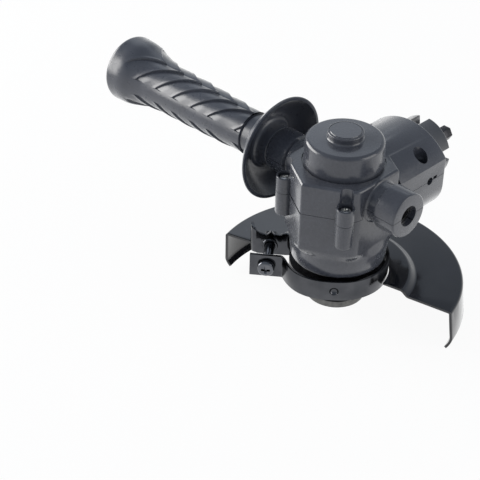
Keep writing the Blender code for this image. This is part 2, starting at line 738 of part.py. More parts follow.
def bevel_wheel(teeth, pitch, mate, back, hub, hub_end, bore, front, phase, matrix):
    """Straight bevel wheel with its cone apex at the origin and its back towards +Z.

    pitch and mate are the outer pitch radii of this wheel and of its partner. The body
    runs from front to back, and its hub, of radius hub, goes on to hub_end.
    """
    cone = atan2(pitch, mate)
    module = 2 * pitch / teeth
    half = pi * module / 4 * TOOTH_FILL
    lean = tan(TOOTH_SLOPE)
    root = TOOTH_ROOT * module
    levels = [(-root, half + 0.8 * root * lean), (0, half), (module, half - 1.05 * module * lean)]
    profile = levels + [(rise, -width) for rise, width in reversed(levels)]
    inner_scale = 1 - GEAR_FACE / hypot(pitch, mate)

    def tooth(i, scale):
        middle = phase + 2 * pi * i / teeth
        points = []
        for rise, width in profile:
            radius = scale * (pitch + rise * cos(cone))
            height = scale * (mate - rise * sin(cone))
            turn = middle - scale * width / radius
            points.append((radius * cos(turn), radius * sin(turn), height))
        return points

    bm = bmesh.new()
    outer = [[bm.verts.new(p) for p in tooth(i, 1)] for i in range(teeth)]
    inner = [[bm.verts.new(p) for p in tooth(i, inner_scale)] for i in range(teeth)]
    for i in range(teeth):
        out, inn = outer[i], inner[i]
        for k in range(5):
            bm.faces.new((out[k], out[k + 1], inn[k + 1], inn[k]))
        following = (i + 1) % teeth
        bm.faces.new((out[5], outer[following][0], inner[following][0], inn[5]))
        bm.faces.new(out)
        bm.faces.new(inn)
    rim = [vert for points in outer for vert in (points[0], points[5])]
    nose = [vert for points in inner for vert in (points[0], points[5])]
    root_radius = pitch - root * cos(cone)
    section = [(root_radius, back), (hub, back), (hub, hub_end), (bore, hub_end), (bore, front)]
    rows = [rim]
    for radius, height in section:
        row = []
        for vert in rim:
            flat = hypot(vert.co.x, vert.co.y)
            row.append(bm.verts.new((radius * vert.co.x / flat, radius * vert.co.y / flat, height)))
        rows.append(row)
    rows.append(nose)
    for low, high in zip(rows, rows[1:]):
        for i in range(len(low)):
            j = (i + 1) % len(low)
            bm.faces.new((low[i], low[j], high[j], high[i]))
    return shape(bm, matrix)


def make_gears(steel):
    """Crown wheel on the drill shaft and pinion on the spindle, in mesh."""
    apex = at(0, 0, DRIVE_Z)
    wheel = bevel_wheel(
        WHEEL_TEETH, WHEEL_PITCH, PINION_PITCH, WHEEL_BACK, WHEEL_HUB_RADIUS,
        FRONT_BEARING_Y - SEAT_GAP, SHAFT_RADIUS + SEAT_GAP, SHAFT_FRONT, pi / 2, apex @ TO_Y,
    )
    finish(wheel, "crown_wheel", steel, (0, 0, DRIVE_Z))
    pinion_back = DRIVE_Z - spindle_bearing_top() - 1.5 * MM
    pinion = bevel_wheel(
        PINION_TEETH, PINION_PITCH, WHEEL_PITCH, pinion_back - PINION_HUB, PINION_HUB_RADIUS,
        pinion_back, SPINDLE_GEAR_RADIUS + SEAT_GAP, PINION_FRONT, -pi / 2 + pi / PINION_TEETH,
        apex @ TO_DOWN,
    )
    finish(pinion, "spindle_pinion", steel)


def make_spindle(steel):
    """Stepped spindle, from its threaded tip up to the bush in the cap."""
    tip = SPINDLE_THREAD_RADIUS
    shoulder = FLANGE_TOP + SEAT_GAP
    collar_top = COLLAR_BOTTOM - SEAT_GAP
    bearing = spindle_bearing_top()
    thread_end = FLANGE_TOP - FLANGE_THICKNESS
    step = DRIVE_Z - SPINDLE_STEP
    edge = 0.5 * MM
    profile = [(0, 0), (tip - SPINDLE_CHAMFER, 0), (tip, SPINDLE_CHAMFER), (tip, thread_end)]
    profile += [(SPINDLE_SEAT_RADIUS, thread_end + 0.4 * MM), (SPINDLE_SEAT_RADIUS, shoulder)]
    profile += [(SPINDLE_COLLAR_RADIUS, shoulder), (SPINDLE_COLLAR_RADIUS, collar_top)]
    profile += [(SPINDLE_SEAT_RADIUS, collar_top), (SPINDLE_SEAT_RADIUS, bearing + 0.8 * MM)]
    profile += [(SPINDLE_GEAR_RADIUS, bearing + 0.8 * MM), (SPINDLE_GEAR_RADIUS, step)]
    profile += [(SPINDLE_TIP_RADIUS, step + edge), (SPINDLE_TIP_RADIUS, SPINDLE_TOP - edge)]
    profile += [(SPINDLE_TIP_RADIUS - edge, SPINDLE_TOP), (0, SPINDLE_TOP)]
    finish(turned(profile, BORE), "spindle", steel)


def make_spindle_bush(bronze):
    """Plain bush for the top of the spindle."""
    inner = SPINDLE_TIP_RADIUS + SEAT_GAP
    low = bush_low()
    high = low + BUSH_LENGTH
    profile = [(inner, low), (BUSH_RADIUS, low), (BUSH_RADIUS, high), (inner, high)]
    finish(turned(profile, BORE), "spindle_top_bush", bronze)


def make_inner_flange(steel):
    """Flange that backs the grinding wheel, pushed up against the spindle collar."""
    low = FLANGE_TOP - FLANGE_THICKNESS
    bore = SPINDLE_SEAT_RADIUS + SEAT_GAP
    hub_low = low - FLANGE_HUB_HEIGHT
    thread = SPINDLE_THREAD_RADIUS + SEAT_GAP
    edge = 0.4 * MM
    profile = [(bore, low + 0.1 * MM), (bore, FLANGE_TOP), (FLANGE_RADIUS - edge, FLANGE_TOP)]
    profile += [(FLANGE_RADIUS, FLANGE_TOP - edge), (FLANGE_RADIUS, low)]
    relief = FLANGE_HUB_RADIUS + FLANGE_RELIEF
    profile += [(relief, low), (relief, low + FLANGE_RELIEF), (FLANGE_HUB_RADIUS, low + FLANGE_RELIEF)]
    profile += [(FLANGE_HUB_RADIUS, hub_low), (thread, hub_low), (thread, low + 0.1 * MM)]
    finish(turned(profile, COARSE), "inner_flange", steel)


def make_flange_nut(steel):
    """Round nut below the wheel, with two blind holes for a pin spanner."""
    top = FLANGE_TOP - FLANGE_THICKNESS - FLANGE_HUB_HEIGHT - SEAT_GAP
    low = NUT_DISC_BOTTOM
    bore = SPINDLE_THREAD_RADIUS + SEAT_GAP
    edge = 0.5 * MM
    profile = [(bore, low), (FLANGE_RADIUS - edge, low), (FLANGE_RADIUS, low + edge)]
    profile += [(FLANGE_RADIUS, top), (bore, top)]
    nut = turned(profile, COARSE)
    holes = []
    for side in (-1, 1):
        place = at(side * SPANNER_PITCH / 2, 0, 0)
        holes.append(rod(SPANNER_HOLE_RADIUS, low - MM, low + SPANNER_HOLE_DEPTH, SMALL, place))
    finish(cut(nut, *holes), "flange_nut", steel)


def make_guard_collar(surface, steel, rubber):
    """Collar under the housing that keeps the bearing in and carries the guard band."""
    bore = SPINDLE_SEAT_RADIUS + SEAT_GAP
    seal_room = SEAL_RADIUS + SEAT_GAP
    seal_top = COLLAR_TOP
    seal_low = seal_top - SEAL_THICKNESS - 2 * SEAT_GAP
    edge = 0.4 * MM
    profile = [(bore, COLLAR_BOTTOM), (COLLAR_RADIUS - edge, COLLAR_BOTTOM)]
    profile += [(COLLAR_RADIUS, COLLAR_BOTTOM + edge)]
    profile += [(COLLAR_RADIUS, COLLAR_BAND_TOP), (COLLAR_NECK_RADIUS, COLLAR_BAND_TOP + 0.8 * MM)]
    profile += [(COLLAR_NECK_RADIUS, COLLAR_TOP), (seal_room, seal_top)]
    profile += [(seal_room, seal_low), (bore, seal_low)]
    collar = turned(profile, FINE)
    holes = []
    head_top = COLLAR_BOTTOM + 2.2 * MM
    tip = head_top + COLLAR_SCREW_LENGTH
    for i in range(3):
        turn = radians(30) + 2 * pi * i / 3
        place = at(COLLAR_SCREW_PITCH * cos(turn), COLLAR_SCREW_PITCH * sin(turn), 0)
        room = COLLAR_SCREW_HEAD + SEAT_GAP
        holes.append(rod(room, COLLAR_BOTTOM - MM, head_top + SEAT_GAP, SMALL, place))
        holes.append(rod(COLLAR_SCREW_RADIUS + SEAT_GAP, COLLAR_BOTTOM, COLLAR_TOP + MM, SMALL, place))
        outline = [(0, COLLAR_BOTTOM + 0.2 * MM), (COLLAR_SCREW_HEAD, COLLAR_BOTTOM + 0.2 * MM)]
        outline += [(COLLAR_SCREW_HEAD, head_top), (COLLAR_SCREW_RADIUS, head_top)]
        outline += [(COLLAR_SCREW_RADIUS, tip), (0, tip)]
        finish(turned(outline, SMALL, place), f"collar_screw_{i + 1}", steel)
    finish(cut(collar, *holes), "guard_collar", surface)
    ring_low = seal_low + SEAT_GAP
    ring = [(bore, ring_low), (SEAL_RADIUS, ring_low), (SEAL_RADIUS, ring_low + SEAL_THICKNESS)]
    ring += [(bore, ring_low + SEAL_THICKNESS)]
    finish(turned(ring, BORE), "dust_seal", rubber)


def collar_screw_bores():
    """Holes in the lower housing for the collar screws."""
    tools = []
    tip = COLLAR_BOTTOM + 2.2 * MM + COLLAR_SCREW_LENGTH
    for i in range(3):
        turn = radians(30) + 2 * pi * i / 3
        place = at(COLLAR_SCREW_PITCH * cos(turn), COLLAR_SCREW_PITCH * sin(turn), 0)
        tools.append(rod(COLLAR_SCREW_RADIUS + SEAT_GAP, SKIRT_BOTTOM - MM, tip + SEAT_GAP, SMALL, place))
    return tools


def guard_section(share):
    """Section of the pressed guard as (radius, height), share of the way towards its +X end."""
    sheet = GUARD_SHEET
    raised = GUARD_PLATE_TOP + GUARD_STEP
    bend = GUARD_BEND
    corner = (GUARD_RADIUS - bend, GUARD_PLATE_TOP - bend)
    wide = GUARD_RADIUS + GUARD_FLARE * share
    bottom = GUARD_BOTTOM - GUARD_SAG * share
    knee = wide - GUARD_LIP * 0.3
    knee_z = GUARD_SKIRT_LOW - GUARD_LIP
    top = [(BAND_RADIUS + SEAT_GAP, raised), (GUARD_STEP_INNER, raised)]
    top += [(GUARD_STEP_OUTER, GUARD_PLATE_TOP)]
    top += arc(corner, bend, pi / 2, 0, 2)
    top += [(wide, GUARD_SKIRT_LOW), (knee, knee_z), (wide - GUARD_LIP, bottom)]
    under = [(wide - GUARD_LIP - sheet, bottom + sheet * 0.3), (knee - sheet, knee_z), (wide - sheet, GUARD_SKIRT_LOW)]
    under += arc(corner, bend - sheet, 0, pi / 2, 2)
    step_in = 0.4 * MM
    under += [(GUARD_STEP_OUTER - step_in, GUARD_PLATE_TOP - sheet)]
    under += [(GUARD_STEP_INNER - step_in, raised - sheet)]
    under += [(BAND_RADIUS + SEAT_GAP, raised - sheet)]
    return top + under


def make_wheel_guard(paint):
    """Half-round wheel guard, swept round the spindle axis and notched behind the clamp."""
    steps = 30
    start = -GUARD_OVERRUN
    sweep = pi + 2 * GUARD_OVERRUN
    rings = []
    for i in range(steps + 1):
        turn = start + sweep * i / steps
        section = guard_section(1 - i / steps)
        rings.append([(r * cos(turn), r * sin(turn), h) for r, h in section])
    guard = loft(rings, Matrix.Rotation(GUARD_TURN, 4, "Z"))
    reach = EAR_REACH + EAR_ROOM
    behind = EAR_OFFSET + EAR_FLANGE + MM
    outline = [(BAND_RADIUS - 4 * MM, 0), (reach, 0), (reach, -EAR_OFFSET), (reach - 7 * MM, -behind)]
    outline += [(BAND_RADIUS - 4 * MM, -behind)]
    raised = GUARD_PLATE_TOP + GUARD_STEP
    notch = prism(outline, GUARD_PLATE_TOP - 5 * MM, raised + MM, ear_frame())
    finish(cut(guard, notch), "wheel_guard", paint)


def ribbon(path, sheet):
    """Outline of a strip of sheet that follows a path."""
    left = []
    right = []
    for i, point in enumerate(path):
        before = Vector(path[max(i - 1, 0)])
        after = Vector(path[min(i + 1, len(path) - 1)])
        here = Vector(point)
        into = (here - before).normalized() if i else (after - here).normalized()
        out = (after - here).normalized() if i < len(path) - 1 else into
        mid = (into + out).normalized()
        normal = Vector((-mid.y, mid.x))
        reach = sheet / 2 / max(mid.dot(into), 0.5)
        left.append(tuple(here + normal * reach))
        right.append(tuple(here - normal * reach))
    return left + right[::-1]


def ear_frame():
    """Local frame at the clamp: X outwards along the ears, Y across them towards the screw head."""
    return Matrix.Rotation(GUARD_TURN + EAR_DIRECTION, 4, "Z")


def strip(stations, sheet, matrix):
    """Strip of sheet on edge, through stations of (x, y, low, high)."""
    sides = ribbon([(x, y) for x, y, _, _ in stations], sheet)
    rings = []
    for i, (_, _, low, high) in enumerate(stations):
        near = sides[i]
        back = sides[-1 - i]
        rings.append([(*near, low), (*back, low), (*back, high), (*near, high)])
    return loft(rings, matrix)


def make_clamp_band(paint):
    """Band round the collar with two ears that the clamp screw pulls together."""
    middle = BAND_RADIUS - BAND_SHEET / 2
    front_low = BAND_BOTTOM - FRONT_EAR_SPREAD[0]
    front_high = BAND_TOP + FRONT_EAR_SPREAD[1]

    def foot_of(radius, offset, bend):
        spread = asin((offset + bend) / (radius + bend))
        return spread, (radius + bend) * cos(spread)

    def ring_radius(turn):
        share = (BULGE_END - (turn + 2 * pi)) / (BULGE_END - BULGE_FULL)
        share = min(max(share, 0), 1)
        return middle + BAND_BULGE * share**2 * (3 - 2 * share)

    rear_spread, rear_foot = foot_of(middle, REAR_EAR_OFFSET, REAR_EAR_BEND)
    spread, foot = foot_of(middle + BAND_BULGE, EAR_OFFSET, FRONT_EAR_BEND)
    length = EAR_REACH - rear_foot
    stations = [(EAR_REACH + BAND_SHEET, -REAR_EAR_OFFSET - EAR_FLANGE, BAND_BOTTOM, BAND_TOP)]
    stations.append((EAR_REACH + BAND_SHEET / 2, -REAR_EAR_OFFSET - BAND_SHEET, BAND_BOTTOM, BAND_TOP))
    for share, rise in REAR_EAR_CREST[::-1]:
        stations.append((rear_foot + length * share, -REAR_EAR_OFFSET, BAND_BOTTOM, BAND_TOP + rise))
    corner = (rear_foot, -REAR_EAR_OFFSET - REAR_EAR_BEND)
    turn = arc(corner, REAR_EAR_BEND, pi / 2, pi - rear_spread, 3)
    stations += [(x, y, BAND_BOTTOM, BAND_TOP) for x, y in turn[1:]]
    for i in range(1, BAND_STEPS):
        angle = -rear_spread + (spread + rear_spread - 2 * pi) * i / BAND_STEPS
        radius = ring_radius(angle)
        stations.append((radius * cos(angle), radius * sin(angle), BAND_BOTTOM, BAND_TOP))
    turn = arc((foot, EAR_OFFSET + FRONT_EAR_BEND), FRONT_EAR_BEND, pi + spread, 1.5 * pi, 3)
    stations += [(x, y, BAND_BOTTOM, BAND_TOP) for x, y in turn[:-1]]
    stations += [(x, EAR_OFFSET, front_low, front_high) for x in (foot + MM, EAR_REACH)]
    frame = ear_frame()
    band = strip(stations, BAND_SHEET, frame)
    across = frame @ at(CLAMP_SCREW_REACH, 0, (BAND_BOTTOM + BAND_TOP) / 2) @ TO_Y
    cut(band, rod(CLAMP_SCREW_RADIUS + SEAT_GAP, -EAR_REACH / 2, EAR_REACH / 2, BORE, across))
    finish(band, "clamp_band", paint)


def make_clamp_screw(steel):
    """Screw and nut that close the band."""
    frame = ear_frame()
    middle_z = (BAND_BOTTOM + BAND_TOP) / 2
    axis = frame @ at(CLAMP_SCREW_REACH, 0, middle_z) @ TO_Y
    ledge = EAR_OFFSET + BAND_SHEET / 2
    rear_ledge = REAR_EAR_OFFSET + BAND_SHEET / 2
    tip = -rear_ledge - CLAMP_NUT_THICKNESS - 3 * MM
    screw = pan_screw(CLAMP_HEAD_RADIUS, CLAMP_HEAD_HEIGHT, CLAMP_SCREW_RADIUS, ledge, tip, BORE)
    screw.data.transform(axis)
    pivot = axis @ Vector((0, 0, ledge))
    finish(screw, "clamp_screw", steel, pivot)
    low = -rear_ledge - SEAT_GAP - CLAMP_NUT_THICKNESS
    nut = prism(polygon(CLAMP_NUT_FLATS), low, low + CLAMP_NUT_THICKNESS, axis)
    cut(nut, rod(CLAMP_SCREW_RADIUS + SEAT_GAP, low - MM, low + CLAMP_NUT_THICKNESS + MM, BORE, axis))
    finish(nut, "clamp_nut", steel)


def make_input_shaft(steel):
    """Drill shaft: a round journal that becomes a hexagon for the chuck."""
    edge = 0.6 * MM
    radius = SHAFT_RADIUS
    corner = SHAFT_HEX_FLATS / 2 / cos(pi / 6)
    spin = at(0, 0, DRIVE_Z) @ TO_Y
    profile = [(0, SHAFT_FRONT), (radius - edge, SHAFT_FRONT), (radius, SHAFT_FRONT + edge)]
    blend_end = SHAFT_ROUND_END + 1.2 * MM
    profile += [(radius, SHAFT_ROUND_END), (corner - 0.3 * MM, blend_end), (0, blend_end)]
    journal = turned(profile, COARSE, spin)
    hexagon = polygon(SHAFT_HEX_FLATS)
    rings = [[(x, y, SHAFT_ROUND_END) for x, y in hexagon]]
    rings.append([(x, y, SHAFT_END - edge) for x, y in hexagon])
    rings.append([(x * 0.82, y * 0.82, SHAFT_END) for x, y in hexagon])
    shank = loft(rings, spin)
    finish(join(journal, shank), "input_shaft", steel, (0, 0, DRIVE_Z))


def make_input_spacer(steel):
    """Tube that keeps the two shaft bearings apart."""
    low = FRONT_BEARING_Y + FRONT_BEARING[2] + SEAT_GAP
    inner = SHAFT_RADIUS + SEAT_GAP
    high = low + SPACER_LENGTH
    profile = [(inner, low), (SPACER_RADIUS, low), (SPACER_RADIUS, high), (inner, high)]
    finish(turned(profile, BORE, at(0, 0, DRIVE_Z) @ TO_Y), "input_spacer", steel, (0, 0, DRIVE_Z))


def make_nose_sleeve(surface):
    """Slotted nose at the rear of the barrel, held by its rim between the shells."""
    start = sleeve_y()
    web_end = start + SLEEVE_WEB
    rim = SLEEVE_RADIUS + SLEEVE_RIM
    edge = 0.8 * MM
    eye = SHAFT_RADIUS + 0.6 * MM
    profile = [(eye, start), (rim, start), (rim, web_end), (SLEEVE_RADIUS, web_end)]
    profile += [(SLEEVE_RADIUS, SLEEVE_END - edge), (SLEEVE_RADIUS - edge, SLEEVE_END)]
    profile += [(SLEEVE_BORE, SLEEVE_END), (SLEEVE_BORE, web_end), (eye, web_end)]
    spin = at(0, 0, DRIVE_Z) @ TO_Y
    sleeve = turned(profile, FINE, spin)
    slots = []
    for i in range(SLEEVE_SLOTS):
        turn = SLEEVE_SLOT_TURN + 2 * pi * i / SLEEVE_SLOTS
        half = SLEEVE_SLOT_WIDTH / 2
        low = (SLEEVE_BORE * 0.75, -half, SLEEVE_END - SLEEVE_SLOT_LENGTH)
        high = (SLEEVE_RADIUS * 1.3, half, SLEEVE_END + MM)
        slots.append(box(low, high, spin @ Matrix.Rotation(-turn, 4, "Z")))
    finish(cut(sleeve, *slots), "nose_sleeve", surface)


def handle_spin():
    """Frame of the side handle: local Z runs outwards along -X."""
    return at(0, 0, HANDLE_Z) @ Matrix.Rotation(-pi / 2, 4, "Y")


def make_handle_core(surface, pivot):
    """Hard core of the handle: hub, hand flange, neck and the tube under the grip."""
    wall = DISH_WALL
    rim = DISH_RADIUS
    floor = DISH_FLOOR
    neck = SLEEVE_START - SEAT_GAP
    hole = STUD_RADIUS + SEAT_GAP
    hub = HUB_RADIUS
    edge = 0.6 * MM
    profile = [(0, HANDLE_FACE), (hub - edge, HANDLE_FACE), (hub, HANDLE_FACE + edge)]
    profile += [(hub, floor - 1.2 * MM), (hub + 1.4 * MM, floor)]
    for share in (0.45, 0.8, 1):
        depth = floor - (floor - DISH_RIM) * share**DISH_CURVE_INSIDE
        profile.append((hub + (rim - wall - hub) * share, depth))
    back = floor + DISH_BACK
    for share in (0, 0.15, 0.32, 0.52, 0.76, 1):
        depth = back - (back - DISH_RIM - DISH_LIP) * (1 - share) ** DISH_CURVE_OUTSIDE
        profile.append((rim - (rim - NECK_RADIUS) * share, depth))
    profile += [(NECK_RADIUS, neck), (CORE_RADIUS, neck), (CORE_RADIUS, CORE_END), (0, CORE_END)]
    core = turned(profile, FINE, handle_spin())
    bore = rod(hole, HANDLE_FACE - MM, STUD_END - STUD_HEAD_THICKNESS + SEAT_GAP, BORE, handle_spin())
    head_start = STUD_END - STUD_HEAD_THICKNESS - SEAT_GAP
    head = prism(polygon(STUD_HEAD_FLATS + 2 * SEAT_GAP), head_start, STUD_END + SEAT_GAP, handle_spin())
    finish(cut(core, bore, head), "handle_core", surface, pivot)


def make_handle_stud(steel, pivot):
    """Steel stud that screws into the boss nut, with its head moulded into the core."""
    edge = 0.7 * MM
    profile = [(0, STUD_TIP), (STUD_RADIUS - edge, STUD_TIP), (STUD_RADIUS, STUD_TIP + edge)]
    profile += [(STUD_RADIUS, STUD_END - MM), (0, STUD_END - MM)]
    stud = turned(profile, BORE, handle_spin())
    head = prism(polygon(STUD_HEAD_FLATS), STUD_END - STUD_HEAD_THICKNESS, STUD_END, handle_spin())
    finish(join(stud, head), "handle_stud", steel, pivot)


def grip_radius(x):
    """Outer radius of the grip at distance x from the spindle axis."""
    share = max(0.0, (x - SLEEVE_START) / (GRIP_END - SLEEVE_START))
    for (start, first), (end, last) in zip(GRIP_KNOTS, GRIP_KNOTS[1:]):
        if share <= end:
            return first + (last - first) * (share - start) / (end - start)
    return GRIP_KNOTS[-1][1]


def make_grip_sleeve(surface, pivot):
    """Soft grip round the core."""
    inner = CORE_RADIUS + SEAT_GAP
    count = 9
    xs = [SLEEVE_START + (GRIP_END - SLEEVE_START) * i / count for i in range(count + 1)]
    profile = [(inner, SLEEVE_START)] + [(grip_radius(x), x) for x in xs] + [(inner, GRIP_END)]
    finish(turned(profile, FINE, handle_spin()), "grip_sleeve", surface, pivot)


def make_end_cap(surface, pivot):
    """Flared end of the handle, pushed over the end of the core."""
    start = GRIP_END + SEAT_GAP
    inner = CORE_RADIUS + SEAT_GAP
    edge = 2.2 * MM
    neck = grip_radius(GRIP_END)
    flare = END_RADIUS - neck
    length = END_RIM - start
    profile = [(0, start), (neck, start), (neck + flare * 0.55, start + length * 0.3)]
    profile += [(neck + flare * 0.88, start + length * 0.63)]
    profile += arc((END_RADIUS - edge, END_RIM), edge, 0, pi / 2, 3)
    profile += [(END_RADIUS * 0.45, END_RIM + edge + END_DOME * 0.75), (0, END_RIM + edge + END_DOME)]
    plug = turned(profile, FINE, handle_spin())
    socket = rod(inner, start - MM, CORE_END + SEAT_GAP, BORE, handle_spin())
    finish(cut(plug, socket), "handle_end_cap", surface, pivot)


def build():
    """Make every piece."""
    clear_scene()
    body_black = material("body_black", (0.055, 0.058, 0.066), 0.42)
    grip_black = material("grip_black", (0.045, 0.052, 0.066), 0.55)
    nose_black = material("nose_black", (0.04, 0.042, 0.05), 0.5)
    paint = material("gloss_black_paint", (0.012, 0.013, 0.018), 0.2)
    zinc = material("zinc_steel", (0.62, 0.62, 0.6), 0.3, 1.0)
    black_steel = material("black_steel", (0.05, 0.05, 0.052), 0.35, 0.9)
    bearing_steel = material("bearing_steel", (0.6, 0.6, 0.62), 0.22, 1.0)
    flange_steel = material("flange_steel", (0.35, 0.34, 0.33), 0.35, 1.0)
    bronze = material("bronze", (0.55, 0.38, 0.2), 0.4, 1.0)
    rubber = material("rubber", (0.02, 0.02, 0.02), 0.8)
    drive = (0, 0, DRIVE_Z)
    handle = (-BOSS_END, 0, HANDLE_Z)
    along_drive = at(*drive) @ TO_Y

    make_housing(body_black)
    make_housing_screws(zinc)
    make_handle_nuts(zinc)
    make_guard_collar(black_steel, zinc, rubber)

    make_spindle(bearing_steel)
    make_spindle_bush(bronze)
    upright = Matrix.Identity(4)
    start = spindle_bearing_low()
    make_bearing("spindle_bearing", SPINDLE_BEARING, start, upright, bearing_steel, (0, 0, 0))
    make_gears(bearing_steel)
    make_inner_flange(flange_steel)
    make_flange_nut(flange_steel)

    make_input_shaft(black_steel)
    make_bearing("front_bearing", FRONT_BEARING, FRONT_BEARING_Y, along_drive, bearing_steel, drive)
    make_bearing("rear_bearing", REAR_BEARING, rear_bearing_y(), along_drive, bearing_steel, drive)
    make_input_spacer(black_steel)
    make_circlip("input_circlip", SHAFT_RADIUS + SEAT_GAP, circlip_y(), CIRCLIP_THICKNESS, CIRCLIP_HEIGHT,
                 along_drive, black_steel, drive)
    make_nose_sleeve(nose_black)

    make_wheel_guard(paint)
    make_clamp_band(paint)
    make_clamp_screw(black_steel)

    make_handle_core(grip_black, handle)
    make_handle_stud(zinc, handle)
    make_grip_sleeve(grip_black, handle)
    make_end_cap(grip_black, handle)


build()
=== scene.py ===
"""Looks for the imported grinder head: finer shapes for its visible pieces, materials, light and camera.

Shapes are written in millimetres in the CAD's frame and become metres when a piece is finished.
"""

import json
from math import asin, atan2, cos, hypot, pi, radians, sin, sqrt

import bmesh
import bpy
from mathutils import Matrix, Vector


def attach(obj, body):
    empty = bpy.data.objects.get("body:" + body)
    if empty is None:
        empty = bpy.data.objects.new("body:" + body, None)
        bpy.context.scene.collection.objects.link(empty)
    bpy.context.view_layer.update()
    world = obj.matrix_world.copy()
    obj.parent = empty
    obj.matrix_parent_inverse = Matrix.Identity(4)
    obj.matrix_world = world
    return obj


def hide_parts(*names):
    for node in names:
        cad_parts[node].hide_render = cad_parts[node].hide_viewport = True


MM = 0.001
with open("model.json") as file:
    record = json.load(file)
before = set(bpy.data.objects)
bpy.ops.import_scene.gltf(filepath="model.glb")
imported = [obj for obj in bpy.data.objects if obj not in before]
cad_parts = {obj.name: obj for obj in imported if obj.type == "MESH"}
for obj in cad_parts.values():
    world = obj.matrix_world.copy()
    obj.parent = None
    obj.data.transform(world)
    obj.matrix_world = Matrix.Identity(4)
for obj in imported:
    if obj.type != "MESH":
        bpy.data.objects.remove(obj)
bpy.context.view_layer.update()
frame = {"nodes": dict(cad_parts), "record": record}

# Camera, fitted to the photograph
CAMERA_AT = (329.47, -397.71, 405.55)
CAMERA_AZIMUTH = radians(44.65)
CAMERA_ELEVATION = radians(35.76)
CAMERA_ROLL = radians(1.09)
FOCAL_PIXELS = 1379.55
PHOTO_PIXELS = 480
SENSOR = 36                # width in millimetres

# Main heights and radii: the CAD's, apart from the cap's edge, the barrel's front and lower corners,
# the pits of the front screws and the seam, which are finer here
GAP = 0.3                  # between pieces that sit in or move on each other
SEAM = 0.2                 # between the two halves of the housing
HEAD_SIDE = 21.7
HEAD_FRONT = 23.6
HEAD_TOP = 79.1
HEAD_EDGE = 1.5
HEAD_STRAIGHT_LOW = 45.5
SKIRT_RADIUS = 22.0
SKIRT_DRAFT = 0.8
SKIRT_TOP = 39.5
SKIRT_BOTTOM = 30.8
DRIVE_Z = 62.5
HANDLE_Z = 68.6
CAP_RADIUS = 17.7
CAP_TOP = 91.2
CAP_EDGE = 1.9
CAP_BOSS = 8.1             # radius of the button on the cap
CAP_BOSS_TOP = 95.0
BARREL_FRONT = 14.6
BARREL_REAR = 46.7
BARREL_ARC = 27.2
BARREL_DROP = 8.6          # from the drive axis down to the centre of the barrel's top arc
BARREL_CORNER = 15.0
FRONT_PARTING = 63.6       # the parting line across the front faces
BOSS_RADIUS = 10.5
BOSS_END = 38.1
FRONT_SCREW = (18.0, -18.2)
FRONT_PIT = 3.3            # radius of the pit over the screw
BARREL_SCREW = (16.5, 33.5)
BARREL_PIT = 3.45
SCREW_LEDGE = 68.6
SCREW_TIP = 53
POST_RADIUS = 4.1
POST_BOTTOM = 51.5
POST_TOP = 71.3
COLLAR_SCREW_CIRCLE = 16.6
GUARD_TURN = radians(15)
GUARD_RADIUS = 59.0
GUARD_TOP = 19.2
GUARD_SHEET = 1.2
BAND_RADIUS = 24.0
BAND_SHEET = 1.5
BAND_BOTTOM = 19.6
BAND_TOP = 29.6
EAR_TURN = radians(218.3)
EAR_OFFSET = 8.8
REAR_EAR_OFFSET = 8.0
EAR_REACH = 39.7
SCREW_REACH = 32.0
COLLAR_RADIUS = 22.2
COLLAR_BOTTOM = 20.0
FLANGE_RADIUS = 13.9
SLEEVE_RADIUS = 15
SLEEVE_FRONT = 39.5
SLEEVE_END = 59
SHANK_FLATS = 6.35

# Colour sockets of a Mix node
MIX_A = 6
MIX_B = 7
MIX_RESULT = 2

TO_Y = Matrix.Rotation(-pi / 2, 4, "X")  # turns +Z onto +Y
ROUND = 96                 # steps round a large turned shape
HANDLE_FRAME = Matrix.Translation((0, 0, HANDLE_Z)) @ Matrix.Rotation(-pi / 2, 4, "Y")
DRIVE_FRAME = Matrix.Translation((0, 0, DRIVE_Z)) @ TO_Y
EAR_FRAME = Matrix.Rotation(EAR_TURN, 4, "Z")
CLAMP_FRAME = EAR_FRAME @ Matrix.Translation((SCREW_REACH, 0, (BAND_BOTTOM + BAND_TOP) / 2)) @ TO_Y


def at(x, y, z):
    return Matrix.Translation((x, y, z))


def shape(bm, matrix):
    """A loose object from a bmesh, moved into place."""
    bmesh.ops.transform(bm, matrix=matrix, verts=bm.verts)
    bmesh.ops.recalc_face_normals(bm, faces=bm.faces)
    mesh = bpy.data.meshes.new("shape")
    bm.to_mesh(mesh)
    bm.free()
    made = bpy.data.objects.new("shape", mesh)
    bpy.context.scene.collection.objects.link(made)
    return made


def settle(target):
    """Apply the modifiers of a piece."""
    graph = bpy.context.evaluated_depsgraph_get()
    result = bpy.data.meshes.new_from_object(target.evaluated_get(graph))
    target.modifiers.clear()
    target.data = result
    return target


def combine(target, operation, *tools):
    """Apply Boolean steps to target and use up the tools."""
    for tool in tools:
        step = target.modifiers.new(operation, "BOOLEAN")
        step.operation = operation
        step.solver = "EXACT"
        step.object = tool
    settle(target)
    for tool in tools:
        bpy.data.objects.remove(tool, do_unlink=True)
    return target


def cut(target, *tools):
    return combine(target, "DIFFERENCE", *tools)


def join(target, *tools):
    return combine(target, "UNION", *tools)


def soften(target, width):
    """Clean a piece after its Boolean steps and round its sharp edges."""
    tiny = 0.003
    flat_within = radians(0.2)
    sharp_from = radians(35)
    bm = bmesh.new()
    bm.from_mesh(target.data)
    bmesh.ops.remove_doubles(bm, verts=bm.verts, dist=tiny)
    bmesh.ops.dissolve_degenerate(bm, edges=bm.edges, dist=tiny)
    bmesh.ops.dissolve_limit(bm, angle_limit=flat_within, verts=bm.verts, edges=bm.edges)
    bm.to_mesh(target.data)
    bm.free()
    step = target.modifiers.new("soften", "BEVEL")
    step.width = width
    step.segments = 2
    step.limit_method = "ANGLE"
    step.angle_limit = sharp_from
    step.use_clamp_overlap = True
    return settle(target)


